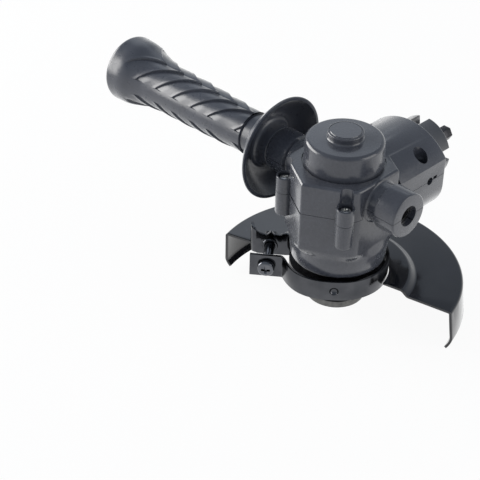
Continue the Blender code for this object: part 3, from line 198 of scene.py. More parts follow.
def loft(rings, matrix=Matrix.Identity(4)):
    """Skin a row of equal rings into a solid with both ends filled."""
    bm = bmesh.new()
    rows = [[bm.verts.new(point) for point in ring] for ring in rings]
    count = len(rows[0])
    for low, high in zip(rows, rows[1:]):
        for i in range(count):
            j = (i + 1) % count
            bm.faces.new((low[i], low[j], high[j], high[i]))
    bm.faces.new(rows[0])
    bm.faces.new(rows[-1])
    return shape(bm, matrix)


def turned(profile, steps=ROUND, matrix=Matrix.Identity(4)):
    """Spin an outline of (radius, height) points about Z."""
    bm = bmesh.new()
    verts = [bm.verts.new((radius, 0, height)) for radius, height in profile]
    pairs = list(zip(verts, verts[1:]))
    if profile[0][0] > 0 or profile[-1][0] > 0:
        pairs.append((verts[-1], verts[0]))
    edges = [bm.edges.new(pair) for pair in pairs]
    bmesh.ops.spin(
        bm, geom=verts + edges, cent=(0, 0, 0), axis=(0, 0, 1), angle=2 * pi, steps=steps, use_merge=True
    )
    bmesh.ops.remove_doubles(bm, verts=bm.verts, dist=0.001)
    return shape(bm, matrix)


def rod(radius, low, high, steps, matrix):
    return turned([(0, low), (radius, low), (radius, high), (0, high)], steps, matrix)


def prism(outline, low, high, matrix):
    """Raise a flat outline between two heights."""
    bm = bmesh.new()
    face = bm.faces.new([bm.verts.new((x, y, low)) for x, y in outline])
    raised = bmesh.ops.extrude_face_region(bm, geom=[face])["geom"]
    verts = [item for item in raised if isinstance(item, bmesh.types.BMVert)]
    bmesh.ops.translate(bm, vec=(0, 0, high - low), verts=verts)
    return shape(bm, matrix)


def box(low, high, matrix=Matrix.Identity(4)):
    outline = [(low[0], low[1]), (high[0], low[1]), (high[0], high[1]), (low[0], high[1])]
    return prism(outline, low[2], high[2], matrix)


def arc(centre, radius, start, end, steps):
    """Points on a circle from one angle to another, both ends kept."""
    angles = [start + (end - start) * i / steps for i in range(steps + 1)]
    return [(centre[0] + radius * cos(a), centre[1] + radius * sin(a)) for a in angles]


def hexagon(flats):
    """Corners of a hexagon of this width across its flats."""
    radius = flats / 2 / cos(pi / 6)
    return [(radius * cos(2 * pi * i / 6), radius * sin(2 * pi * i / 6)) for i in range(6)]


def ease(share):
    return share * share * (3 - 2 * share)


def unit(value):
    """The value, held between 0 and 1."""
    return max(0.0, min(1.0, value))


def along(knots, x):
    """Smooth value at x through (x, value) knots, without overshoot."""
    if x <= knots[0][0]:
        return knots[0][1]
    slopes = [(b[1] - a[1]) / (b[0] - a[0]) for a, b in zip(knots, knots[1:])]
    for i, ((x0, y0), (x1, y1)) in enumerate(zip(knots, knots[1:])):
        if x <= x1:
            before = slopes[max(i - 1, 0)]
            after = slopes[min(i + 1, len(slopes) - 1)]
            here = slopes[i]
            tilt_0 = 2 * before * here / (before + here) if before * here > 0 else 0.0
            tilt_1 = 2 * after * here / (after + here) if after * here > 0 else 0.0
            t = (x - x0) / (x1 - x0)
            width = x1 - x0
            return (
                (2 * t**3 - 3 * t**2 + 1) * y0 + (t**3 - 2 * t**2 + t) * width * tilt_0
                + (3 * t**2 - 2 * t**3) * y1 + (t**3 - t**2) * width * tilt_1
            )
    return knots[-1][1]


def finish(piece, name, body, surface, nodes, sharp=32):
    """Name a piece, scale it to metres, give it its look and put it on its body."""
    tiny = 0.002
    bm = bmesh.new()
    bm.from_mesh(piece.data)
    bmesh.ops.remove_doubles(bm, verts=bm.verts, dist=tiny)
    bmesh.ops.dissolve_degenerate(bm, edges=bm.edges, dist=tiny)
    bmesh.ops.scale(bm, vec=(MM, MM, MM), verts=bm.verts)
    bm.to_mesh(piece.data)
    bm.free()
    piece.name = name
    piece.data.name = name
    piece.data.materials.clear()
    piece.data.materials.append(surface)
    piece.data.shade_smooth()
    piece.data.set_sharp_from_angle(angle=radians(sharp))
    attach(piece, body)
    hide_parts(*nodes)


# Materials


def look(
    name, dark, light, rough, metallic=0.0, tone_scale=90, grain=None, pits=None, ior=1.5,
    sheen=0.0, coat=None,
):
    """A Principled material: two tones, uneven roughness, and grain and soft unevenness as bump.

    rough is (smoothest, roughest); grain and pits are (features per metre, height in metres);
    coat is the roughness of a clear outer skin.
    """
    made = bpy.data.materials.new(name)
    made.use_nodes = True
    tree = made.node_tree
    nodes = tree.nodes
    link = tree.links.new
    shader = nodes["Principled BSDF"]
    shader.inputs["Metallic"].default_value = metallic
    shader.inputs["IOR"].default_value = ior
    shader.inputs["Sheen Weight"].default_value = sheen
    shader.inputs["Sheen Roughness"].default_value = 0.3
    if coat:
        shader.inputs["Coat Weight"].default_value = 1.0
        shader.inputs["Coat Roughness"].default_value = coat
        shader.inputs["Coat IOR"].default_value = 1.45
    place = nodes.new("ShaderNodeTexCoord").outputs["Object"]

    def noise(scale, detail):
        made_noise = nodes.new("ShaderNodeTexNoise")
        made_noise.inputs["Scale"].default_value = scale
        made_noise.inputs["Detail"].default_value = detail
        link(place, made_noise.inputs["Vector"])
        return made_noise.outputs["Fac"]

    def ramp(source, low, high):
        """Spread the middle of a noise, where most of its values lie, from low to high."""
        made_ramp = nodes.new("ShaderNodeMapRange")
        made_ramp.inputs["From Min"].default_value = 0.3
        made_ramp.inputs["From Max"].default_value = 0.7
        made_ramp.inputs["To Min"].default_value = low
        made_ramp.inputs["To Max"].default_value = high
        link(source, made_ramp.inputs["Value"])
        return made_ramp.outputs["Result"]

    tone = nodes.new("ShaderNodeMix")
    tone.data_type = "RGBA"
    tone.inputs[MIX_A].default_value = (*dark, 1)
    tone.inputs[MIX_B].default_value = (*light, 1)
    link(ramp(noise(tone_scale, 5.0), 0.0, 1.0), tone.inputs["Factor"])
    link(tone.outputs[MIX_RESULT], shader.inputs["Base Color"])
    link(ramp(noise(tone_scale * 4.3, 4.0), rough[0], rough[1]), shader.inputs["Roughness"])
    normal = None
    for feature in (pits, grain):
        if feature:
            bump = nodes.new("ShaderNodeBump")
            bump.inputs["Strength"].default_value = 1.0
            bump.inputs["Distance"].default_value = feature[1]
            link(noise(feature[0], 2.0), bump.inputs["Height"])
            if normal:
                link(normal, bump.inputs["Normal"])
            normal = bump.outputs["Normal"]
    if normal:
        link(normal, shader.inputs["Normal"])
    return made


PLASTIC = {"ior": 1.32, "sheen": 0.2}
housing_look = look("housing_plastic", (0.042, 0.045, 0.056), (0.053, 0.057, 0.07), (0.24, 0.31),
                    tone_scale=70, grain=(5200, 0.0000015), pits=(520, 0.000006), coat=0.16, **PLASTIC)
nose_look = look("nose_plastic", (0.034, 0.036, 0.042), (0.045, 0.047, 0.054), (0.28, 0.36),
                 tone_scale=90, grain=(5200, 0.000002), pits=(600, 0.000007), coat=0.16, **PLASTIC)
handle_look = look("handle_plastic", (0.036, 0.04, 0.052), (0.047, 0.052, 0.067), (0.26, 0.34),
                   tone_scale=80, grain=(6200, 0.000002), pits=(420, 0.000008), coat=0.26, **PLASTIC)
paint_look = look("guard_paint", (0.008, 0.009, 0.012), (0.012, 0.013, 0.018), (0.11, 0.17),
                  tone_scale=60, pits=(500, 0.000004), ior=1.3, coat=0.1)
band_look = look("band_steel", (0.06, 0.063, 0.07), (0.1, 0.103, 0.112), (0.12, 0.2), metallic=1.0,
                 tone_scale=110, pits=(260, 0.00003))
screw_look = look("plated_steel", (0.1, 0.105, 0.12), (0.17, 0.175, 0.19), (0.1, 0.2), metallic=1.0,
                  tone_scale=300, grain=(4000, 0.000004))
black_look = look("black_steel", (0.03, 0.03, 0.033), (0.055, 0.055, 0.06), (0.25, 0.4), metallic=0.9,
                  tone_scale=400, grain=(4000, 0.000006))
zinc_look = look("zinc_steel", (0.5, 0.51, 0.52), (0.68, 0.68, 0.66), (0.2, 0.35), metallic=1.0,
                 tone_scale=600, grain=(5000, 0.000005))
bearing_look = look("bearing_steel", (0.5, 0.5, 0.52), (0.66, 0.66, 0.68), (0.12, 0.25), metallic=1.0,
                    tone_scale=300, grain=(7000, 0.000003))
flange_look = look("flange_steel", (0.1, 0.1, 0.1), (0.16, 0.16, 0.155), (0.28, 0.4), metallic=1.0,
                   tone_scale=500, grain=(4000, 0.000006))
bronze_look = look("bronze", (0.42, 0.27, 0.13), (0.58, 0.4, 0.22), (0.35, 0.5), metallic=1.0,
                   tone_scale=900, grain=(9000, 0.000008))
rubber_look = look("seal_rubber", (0.014, 0.014, 0.014), (0.024, 0.024, 0.024), (0.7, 0.85),
                   tone_scale=300, grain=(6000, 0.00001))
LOOKS = {
    "housing_plastic": housing_look, "nose_plastic": nose_look, "handle_plastic": handle_look,
    "guard_paint": paint_look, "black_steel": black_look, "zinc_steel": zinc_look,
    "bearing_steel": bearing_look, "flange_steel": flange_look, "bronze": bronze_look,
    "seal_rubber": rubber_look,
}
for part in frame["record"]["subparts"]:
    node = frame["nodes"][part["node"]]
    node.data.materials.clear()
    node.data.materials.append(LOOKS[part["material_slot"]])


# Housing

# Bores for the spindle and the drive with their bearings, as (radius, distance along the bore)
SPINDLE_BORE = [
    (0, 25), (14.3, 25), (14.3, 39.1), (12.3, 39.1), (12.3, 41.1), (14.5, 41.1),
    (14.5, 80), (6.8, 80), (6.8, 88.4), (0, 88.4),
]
DRIVE_BORE = [
    (0, 2.5), (17, 2.5), (17, 13), (13.3, 13), (13.3, 22.9), (11.3, 22.9), (11.3, 39.2),
    (17.3, 39.2), (17.3, 42.8), (15.3, 42.8), (15.3, 50), (0, 50),
]


def rounded_planes(planes, inset):
    """Outline of flats given as (normal angle, distance, radius of the corner after it)."""
    corner_steps = 8
    edge_steps = 6
    ring = []
    count = len(planes)
    for i in range(count):
        angle_a, near_a, radius = planes[i]
        angle_b, near_b, _ = planes[(i + 1) % count]
        if angle_b < angle_a:
            angle_b += 2 * pi
        radius = max(radius, inset + 0.2)
        dist_a = near_a - radius
        dist_b = near_b - radius
        turn = sin(angle_b - angle_a)
        centre = (
            (dist_a * sin(angle_b) - dist_b * sin(angle_a)) / turn,
            (dist_b * cos(angle_a) - dist_a * cos(angle_b)) / turn,
        )
        ring.append(arc(centre, radius - inset, angle_a, angle_b, corner_steps))
    points = []
    for here, after in zip(ring, ring[1:] + ring[:1]):
        points += here
        start = Vector(here[-1])
        end = Vector(after[0])
        points += [tuple(start.lerp(end, k / (edge_steps + 1))) for k in range(1, edge_steps + 1)]
    return points


def head_outline(inset=0.0):
    """Plan of the head: six flats, with wide corners beside the front screws' posts."""
    small = 1.4
    wide = 6.0
    sides = [(0, small), (60, small), (120, small), (180, wide), (240, small), (300, wide)]
    planes = []
    for turn, radius in sides:
        planes.append((radians(turn), HEAD_FRONT if turn >= 240 else HEAD_SIDE, radius))
    return rounded_planes(planes, inset)


def head_block():
    """Six-sided head that runs down into a round skirt."""
    plan = head_outline()
    chamfer = 0.7

    def round_ring(radius, z):
        return [(radius * x / hypot(x, y), radius * y / hypot(x, y), z) for x, y in plan]

    rings = [
        round_ring(SKIRT_RADIUS - chamfer, SKIRT_BOTTOM),
        round_ring(SKIRT_RADIUS - 0.2, SKIRT_BOTTOM + 0.2),
        round_ring(SKIRT_RADIUS, SKIRT_BOTTOM + chamfer),
        round_ring(SKIRT_RADIUS + SKIRT_DRAFT, SKIRT_TOP),
    ]
    circle = rings[-1]
    steps = 10
    for k in range(1, steps + 1):
        z = SKIRT_TOP + (HEAD_STRAIGHT_LOW - SKIRT_TOP) * k / steps
        share = ease(k / steps)
        rings.append([
            (x + (flat_x - x) * share, y + (flat_y - y) * share, z)
            for (x, y, _), (flat_x, flat_y) in zip(circle, plan)
        ])
    for turn in range(0, 91, 15):
        inset = HEAD_EDGE * (1 - cos(radians(turn)))
        z = HEAD_TOP - HEAD_EDGE * (1 - sin(radians(turn)))
        rings.append([(x, y, z) for x, y in head_outline(inset)])
    return loft(rings)


def cap_block():
    """Round cap with a raised button in the middle, its face set inside a fine ring."""
    foot = 0.9
    wall = CAP_BOSS - 0.25
    edge = 0.55
    root = HEAD_TOP - 2
    profile = [(0, CAP_BOSS_TOP), (6.75, CAP_BOSS_TOP)]
    profile += [(6.95, CAP_BOSS_TOP - 0.3), (7.2, CAP_BOSS_TOP - 0.35)]
    profile += arc((CAP_BOSS - edge, CAP_BOSS_TOP - 0.2 - edge), edge, pi / 2, 0, 5)
    profile += [(wall, CAP_TOP + foot + 0.6)]
    profile += arc((wall + foot, CAP_TOP + foot), foot, pi, 1.5 * pi, 6)
    profile += arc((CAP_RADIUS - CAP_EDGE, CAP_TOP - CAP_EDGE), CAP_EDGE, pi / 2, 0, 9)
    profile += [(CAP_RADIUS + 0.4, root), (0, root)]
    return turned(profile)


def barrel_ring(y, inset):
    """Section of the barrel: flat sides, a wide arc on top and round lower corners."""
    top_centre = DRIVE_Z - BARREL_DROP
    side = HEAD_SIDE - inset
    radius = BARREL_ARC - inset
    start = atan2(sqrt(radius**2 - side**2), side)
    upper = arc((0, top_centre), radius, start, pi - start, 40)
    corner = BARREL_CORNER - inset
    middle = (side - corner, DRIVE_Z - side + corner)
    lower = arc((-middle[0], middle[1]), corner, pi, 1.5 * pi, 24)
    lower += arc(middle, corner, 1.5 * pi, 2 * pi, 24)
    return [(x, y, z) for x, z in upper + lower]


def barrel_block():
    rings = [barrel_ring(BARREL_FRONT, 0)]
    edge = 0.9
    for turn in range(0, 91, 18):
        inset = edge * (1 - cos(radians(turn)))
        rings.append(barrel_ring(BARREL_REAR - edge * (1 - sin(radians(turn))), inset))
    return loft(rings)


def side_boss(side):
    """Handle boss on one side, +1 or -1, with a shallow neck where it meets the head."""
    edge = 0.8
    neck = 9.3
    foot = 1.2
    shoulder = 27.2
    profile = [(0, HEAD_SIDE - 3), (neck + foot, HEAD_SIDE - 3), (neck + foot, HEAD_SIDE - 0.1)]
    profile += arc((neck + foot, HEAD_SIDE + foot), foot, -pi / 2, -pi, 6)
    profile += [(neck, shoulder - 0.6), (BOSS_RADIUS - 0.35, shoulder - 0.1), (BOSS_RADIUS, shoulder + 0.3)]
    profile += arc((BOSS_RADIUS - edge, BOSS_END - edge), edge, 0, pi / 2, 5) + [(0, BOSS_END)]
    return turned(profile, 80, at(0, 0, HANDLE_Z) @ Matrix.Rotation(side * pi / 2, 4, "Y"))


def screw_post(side):
    """Post of a front screw, with a round foot and a small chamfer on top."""
    edge = 0.9
    chamfer = 0.2
    profile = [(0, POST_BOTTOM)] + arc((POST_RADIUS - edge, POST_BOTTOM + edge), edge, -pi / 2, 0, 5)
    profile += [(POST_RADIUS, POST_TOP - chamfer), (POST_RADIUS - chamfer, POST_TOP), (0, POST_TOP)]
    return turned(profile, 40, at(side * FRONT_SCREW[0], FRONT_SCREW[1], 0))


def screw_places():
    """Name, place and pit radius of the four screws that hold the housing together."""
    places = []
    for row, (x, y), pit in (("front", FRONT_SCREW, FRONT_PIT), ("barrel", BARREL_SCREW, BARREL_PIT)):
        places += [(f"{row}_screw_{word}", side * x, y, pit) for word, side in (("left", -1), ("right", 1))]
    return places


def collar_screw_places():
    turns = [radians(30) + 2 * pi * i / 3 for i in range(3)]
    return [(COLLAR_SCREW_CIRCLE * cos(turn), COLLAR_SCREW_CIRCLE * sin(turn)) for turn in turns]


def boss_tools(side):
    """Handle socket with its nut pocket, and the barrel's small hole and slot, on one side."""
    spin = at(0, 0, HANDLE_Z) @ Matrix.Rotation(side * pi / 2, 4, "Y")
    pocket_end = BOSS_END - 3
    pocket = prism(hexagon(13.6), pocket_end - 7.1, pocket_end, spin)
    socket = join(pocket, rod(4.9, BOSS_END - 14, BOSS_END + 1, 64, spin))
    hole_place = at(0, 35.8, DRIVE_Z) @ Matrix.Rotation(side * pi / 2, 4, "Y")
    hole = rod(1.9, HEAD_SIDE - 3.5, HEAD_SIDE + 1, 40, hole_place)
    xs = sorted((side * (HEAD_SIDE - 2.5), side * (HEAD_SIDE + 1)))
    slot = box((xs[0], 38.2, DRIVE_Z + 0.1), (xs[1], 40.6, DRIVE_Z + 1.5))
    return [socket, hole, slot]


def groove_tools():
    """Groove round the foot of the cap, and the wide one on a front face at the parting line."""
    depth = 0.9
    inner = CAP_RADIUS + 0.25
    low = HEAD_TOP - depth
    high = HEAD_TOP + 1
    ring = turned([(inner, low), (inner + 0.9, low), (inner + 0.9, high), (inner, high)])
    face = radians(240)
    flat = at(HEAD_FRONT * cos(face), HEAD_FRONT * sin(face), FRONT_PARTING) @ Matrix.Rotation(face, 4, "Z")
    return [ring, box((-0.8, -2.5, -0.5), (0.5, 13.4, 0.5), flat)]


def housing_tools():
    """Everything that is bored out of the housing."""
    tools = [turned(SPINDLE_BORE, 64), turned(DRIVE_BORE, 64, DRIVE_FRAME)]
    for side in (-1, 1):
        tools += boss_tools(side)
    for _, x, y, pit in screw_places():
        tools.append(rod(pit, SCREW_LEDGE, CAP_TOP, 48, at(x, y, 0)))
        tools.append(rod(2.1, SCREW_TIP - GAP, SCREW_LEDGE + 1, 24, at(x, y, 0)))
    for x, y in collar_screw_places():
        tools.append(rod(1.8, SKIRT_BOTTOM - 1, 37.5, 24, at(x, y, 0)))
    return tools + groove_tools()


def parting(shift):
    """Everything under the stepped parting surface, moved up by shift."""
    far = 90
    front_from = -6
    low = box((-far, front_from, -far), (far, far, DRIVE_Z + shift))
    front = box((-far, -far, -far), (far, front_from + 0.1, FRONT_PARTING + shift))
    half = BOSS_RADIUS + 0.4 + shift
    steps = []
    for side in (-1, 1):
        xs = sorted((side * (17.6 - shift), side * far))
        steps.append(box((xs[0], -half, 0), (xs[1], half, HANDLE_Z + shift)))
    return join(low, front, *steps)


blocks = [barrel_block(), cap_block(), side_boss(-1), side_boss(1), screw_post(-1), screw_post(1)]
upper = join(head_block(), *blocks)
cut(upper, *housing_tools())
lower = bpy.data.objects.new("lower", upper.data.copy())
bpy.context.scene.collection.objects.link(lower)
cut(upper, parting(SEAM / 2))
combine(lower, "INTERSECT", parting(-SEAM / 2))
for half in (upper, lower):
    soften(half, 0.22)
finish(upper, "housing_upper_shell", "gearcase", housing_look, ["upper_housing"])
finish(lower, "housing_lower_shell", "gearcase", housing_look, ["lower_housing"])


# Screws


def cross_tool(radius, depth, top):
    """Cross-shaped driver recess that narrows towards its bottom."""
    rings = []
    for height, share in ((top - depth, 0.45), (top + 1, 1.12)):
        arm = radius * 0.26 * (0.5 + 0.5 * share)
        reach = radius * share
        ring = []
        for quarter in range(4):
            turn = Matrix.Rotation(quarter * pi / 2, 2)
            for point in ((reach, -arm), (reach, arm), (arm, arm)):
                ring.append((*(turn @ Vector(point)), height))
        rings.append(ring)
    return loft(rings)


def pan_screw(head, height, shank, ledge, tip, matrix):
    """Pan-head screw along Z, head up, seated on a ledge."""
    low = ledge + GAP
    top = low + height
    profile = [(0, top)]
    for turn in range(15, 91, 15):
        profile.append((head * sin(radians(turn)), top - 0.5 * height * (1 - cos(radians(turn))) ** 1.2))
    profile += [(head, low + 0.15), (head - 0.15, low), (shank, low), (shank, tip + shank * 0.6)]
    profile += [(shank * 0.4, tip), (0, tip)]
    screw = turned(profile, 48)
    cut(screw, cross_tool(head * 0.62, height * 0.62, top))
    screw.data.transform(matrix)
    return screw


for name, x, y, _ in screw_places():
    screw = pan_screw(2.6, 1.6, 1.8, SCREW_LEDGE, SCREW_TIP, at(x, y, 0))
    finish(screw, name + "_fine", "gearcase", zinc_look, [name])


# Collar, flange and nut under the head


def guard_collar():
    """Collar that the guard turns on, with the holes of its three screws."""
    edge = 0.4
    profile = [(6.3, COLLAR_BOTTOM)]
    profile += arc((COLLAR_RADIUS - edge, COLLAR_BOTTOM + edge), edge, -pi / 2, 0, 4)
    profile += [(COLLAR_RADIUS, 26.0), (18.6, 26.8), (18.6, 30.5), (10.3, 30.5), (10.3, 26.9), (6.3, 26.9)]
    tools = []
    for x, y in collar_screw_places():
        tools.append(rod(2.9, COLLAR_BOTTOM - 1, 22.5, 32, at(x, y, 0)))
        tools.append(rod(1.8, COLLAR_BOTTOM, 31.5, 24, at(x, y, 0)))
    return cut(turned(profile), *tools)


def inner_flange():
    """Flange with a hub for the wheel's bore and a fine groove round the hub."""
    edge = 0.4
    profile = [(6.3, 13.4), (6.3, 17.3)]
    profile += arc((FLANGE_RADIUS - edge, 17.3 - edge), edge, pi / 2, 0, 3)
    profile += arc((FLANGE_RADIUS - 0.3, 13.6), 0.3, 0, -pi / 2, 3)
    profile += [(8.4, 13.3), (8.4, 13.8), (7.9, 13.8), (7.9, 11.3), (5.2, 11.3), (5.2, 13.4)]
    return turned(profile)


def flange_nut():
    """Round nut with two holes for a pin spanner."""
    edge = 0.5
    profile = [(5.2, 7.3)] + arc((FLANGE_RADIUS - edge, 7.3 + edge), edge, -pi / 2, 0, 4)
    profile += [(FLANGE_RADIUS, 10.7), (FLANGE_RADIUS - 0.3, 11.0), (5.2, 11.0)]
    made = turned(profile)
    cut(made, *[rod(2.2, 6.3, 10.3, 32, at(side * 10.0, 0, 0)) for side in (-1, 1)])
    return soften(made, 0.2)


finish(guard_collar(), "collar_fine", "gearcase", black_look, ["guard_collar"])
finish(inner_flange(), "inner_flange_fine", "spindle", flange_look, ["inner_flange"])
finish(flange_nut(), "flange_nut_fine", "flange_nut", flange_look, ["flange_nut"])


# Guard, band and clamp


def ribbon(path, sheet):
    """Outline of a strip of sheet that follows a path."""
    left = []
    right = []
    for i, point in enumerate(path):
        before = Vector(path[max(i - 1, 0)])
        after = Vector(path[min(i + 1, len(path) - 1)])
        here = Vector(point)
        into = (here - before).normalized() if i else (after - here).normalized()
        out = (after - here).normalized() if i < len(path) - 1 else into
        mid = (into + out).normalized()
        normal = Vector((-mid.y, mid.x))
        reach = sheet / 2 / max(mid.dot(into), 0.5)
        left.append(tuple(here + normal * reach))
        right.append(tuple(here - normal * reach))
    return left + right[::-1]


def guard_section(share):
    """Section of the guard, from its plain end (0) to the end that is sprung out and hangs lower (1)."""
    plate = GUARD_TOP - GUARD_SHEET / 2
    step = 2.4
    bend = 1.5
    sprung = 1.88 * share
    lip_from = 4.4
    lip_end = 0.4 - 1.9 * share
    raised = plate + step
    path = [(BAND_RADIUS + GAP, raised), (30, raised)]
    for k in range(11):
        path.append((33.2 + 4.2 * k / 10, raised - step * ease(k / 10)))
    path += [(46, plate)]
    path += arc((GUARD_RADIUS - bend, GUARD_TOP - bend), bend - GUARD_SHEET / 2, pi / 2, 0, 6)
    wide = GUARD_RADIUS - GUARD_SHEET / 2 + sprung
    path += [((path[-1][0] + wide) / 2, 10.8)]
    for k in range(9):
        path.append((wide - 2.3 * (k / 8) ** 1.7, lip_from + (lip_end - lip_from) * k / 8))
    return ribbon(path, GUARD_SHEET)


def wheel_guard():
    """Half-round guard: stepped plate, bend, skirt and turned-in lower edge, cut out for the ears."""
    steps = 150
    start = -radians(1.7)
    sweep = pi - 2 * start
    rings = []
    for i in range(steps + 1):
        turn = start + sweep * i / steps
        rings.append([(r * cos(turn), r * sin(turn), h) for r, h in guard_section(1 - i / steps)])
    made = loft(rings, Matrix.Rotation(GUARD_TURN, 4, "Z"))
    reach = EAR_REACH + 4.1
    behind = EAR_OFFSET + 5.6 + 1
    outline = [(20, 0), (reach, 0), (reach, -EAR_OFFSET), (reach - 7, -behind), (20, -behind)]
    cut(made, prism(outline, 14.2, 22.6, EAR_FRAME))
    return soften(made, 0.2)


finish(wheel_guard(), "guard_fine", "guard", paint_look, ["wheel_guard"])


def strip(stations, sheet, matrix):
    """Strip of sheet on edge through stations of (x, y, low, high)."""
    sides = ribbon([(x, y) for x, y, _, _ in stations], sheet)
    rings = []
    for i, (_, _, low, high) in enumerate(stations):
        near, back = sides[i], sides[-1 - i]
        rings.append([(*near, low), (*back, low), (*back, high), (*near, high)])
    return loft(rings, matrix)


# Height of the rear ear's upper edge above the band, from its root (0) to its end (1)
REAR_CREST = [
    (0, 1.9), (0.1, 1.6), (0.22, 0.7), (0.35, 0.9), (0.48, 2.6), (0.56, 1.2), (0.63, 0.5),
    (0.78, 1.2), (0.9, 2.4), (1, 3.5),
]


def band_stations():
    """Path and edges of the band: rear ear from its bent end, round the collar, then the front ear."""
    middle = BAND_RADIUS - BAND_SHEET / 2
    bulge = 2.4              # how far the band stands off the collar before the front ear
    front_bend = 2.5
    rear_bend = 4.0
    front_low = 0.3          # how far the front ear hangs below the band
    front_high = 1.1
    rear_spread = asin((REAR_EAR_OFFSET + rear_bend) / (middle + rear_bend))
    rear_foot = (middle + rear_bend) * cos(rear_spread)
    spread = asin((EAR_OFFSET + front_bend) / (middle + bulge + front_bend))
    foot = (middle + bulge + front_bend) * cos(spread)
    length = EAR_REACH - rear_foot

    def crest(x):
        return along(REAR_CREST, (x - rear_foot) / length)

    corner = (EAR_REACH - 1.2, -REAR_EAR_OFFSET - 2.0)
    path = [(corner[0] + 2.6, -REAR_EAR_OFFSET - 5.4)] + arc(corner, 2.0, 0.3, pi / 2, 7)
    stations = [(x, y, BAND_BOTTOM + 0.4, BAND_TOP + crest(min(x, EAR_REACH))) for x, y in path]
    ear_steps = 36
    for i in range(1, ear_steps + 1):
        x = corner[0] + (rear_foot - corner[0]) * i / ear_steps
        stations.append((x, -REAR_EAR_OFFSET, BAND_BOTTOM, BAND_TOP + crest(x)))
    turn = arc((rear_foot, -REAR_EAR_OFFSET - rear_bend), rear_bend, pi / 2, pi - rear_spread, 10)
    for i, (x, y) in enumerate(turn[1:]):
        stations.append((x, y, BAND_BOTTOM, BAND_TOP + crest(rear_foot) * (1 - ease((i + 1) / 10))))
    steps = 140
    for i in range(1, steps):
        angle = -rear_spread + (spread + rear_spread - 2 * pi) * i / steps
        share = unit((radians(95) - (angle + 2 * pi)) / radians(50))
        radius = middle + bulge * ease(share)
        stations.append((radius * cos(angle), radius * sin(angle), BAND_BOTTOM, BAND_TOP))
    turn = arc((foot, EAR_OFFSET + front_bend), front_bend, pi + spread, 1.5 * pi, 10)
    for i, (x, y) in enumerate(turn):
        share = ease(i / 10)
        stations.append((x, y, BAND_BOTTOM - front_low * share, BAND_TOP + front_high * share))
    stations.append((EAR_REACH, EAR_OFFSET, BAND_BOTTOM - front_low, BAND_TOP + front_high))
    return stations


def clamp_band():
    """Band round the collar, with a raised disc on the rear ear, the screw's holes and a dimple."""
    band = strip(band_stations(), BAND_SHEET, EAR_FRAME)
    join(band, turned([(0, -8.4), (3.75, -8.4), (3.75, -6.9), (3.45, -6.5), (0, -6.5)], 48, CLAMP_FRAME))
    cut(band, rod(2.7, -20, 20, 40, CLAMP_FRAME))
    dimple_turn = radians(-51)
    reach = BAND_RADIUS + 0.9
    place = at(reach * cos(dimple_turn), reach * sin(dimple_turn), (BAND_BOTTOM + BAND_TOP) / 2)
    dimple = bmesh.new()
    bmesh.ops.create_uvsphere(dimple, u_segments=32, v_segments=16, radius=2.3)
    cut(band, shape(dimple, place))
    return soften(band, 0.3)


finish(clamp_band(), "clamp_band_fine", "guard", band_look, ["clamp_band"])

clamp_screw = pan_screw(4.0, 2.8, 2.4, EAR_OFFSET + BAND_SHEET / 2, -REAR_EAR_OFFSET - 7.7, CLAMP_FRAME)
finish(clamp_screw, "clamp_screw_fine", "clamp_screw", screw_look, ["clamp_screw"])


# Nose and drill shaft


def nose_sleeve():
    """Sleeve with a flange inside the barrel and four slots in its rear end."""
    edge = 0.8
    shoulder = 42.5
    bore = 10.6
    hole = 5.6
    profile = [(hole, SLEEVE_FRONT), (17, SLEEVE_FRONT), (17, shoulder), (SLEEVE_RADIUS, shoulder)]
    profile += arc((SLEEVE_RADIUS - edge, SLEEVE_END - edge), edge, 0, pi / 2, 5)
    profile += [(bore, SLEEVE_END), (bore, shoulder), (hole, shoulder)]
    made = turned(profile, ROUND, DRIVE_FRAME)
    slots = []
    for i in range(4):
        turn = radians(7) + i * pi / 2
        slots.append(box((8, -3, 48), (19.5, 3, 60), DRIVE_FRAME @ Matrix.Rotation(-turn, 4, "Z")))
    cut(made, *slots)
    return soften(made, 0.35)


finish(nose_sleeve(), "nose_sleeve_fine", "gearcase", nose_look, ["nose_sleeve"])


def input_shaft():
    """Round shaft with a hexagonal shank and a groove round it."""
    corner = SHANK_FLATS / 2 / cos(pi / 6)
    profile = [(0, 5.6), (4.4, 5.6), (5, 6.2), (5, 49), (corner - 0.3, 50.2), (0, 50.2)]
    journal = turned(profile, 72, DRIVE_FRAME)
    levels = ((49, 1), (75.2, 1), (75.8, 0.82))
    shank = loft([[(x * s, y * s, h) for x, y in hexagon(SHANK_FLATS)] for h, s in levels], DRIVE_FRAME)
    groove = turned([(2.9, 66.0), (6, 66.0), (6, 68.0), (2.9, 68.0)], 48, DRIVE_FRAME)
    made = join(journal, shank)
    cut(made, groove)
    return soften(made, 0.12)


finish(input_shaft(), "input_shaft_fine", "drive", black_look, ["input_shaft"])


# Side handle

DISH_RADIUS = 25.25
DISH_RIM = 37.4
DISH_FLOOR = 45.2
NECK_RADIUS = 9.6
CORE_END = 136
GRIP_START = 55.3
GRIP_BORE = 7.3
END_RADIUS = 16.8
END_RIM = 141.6


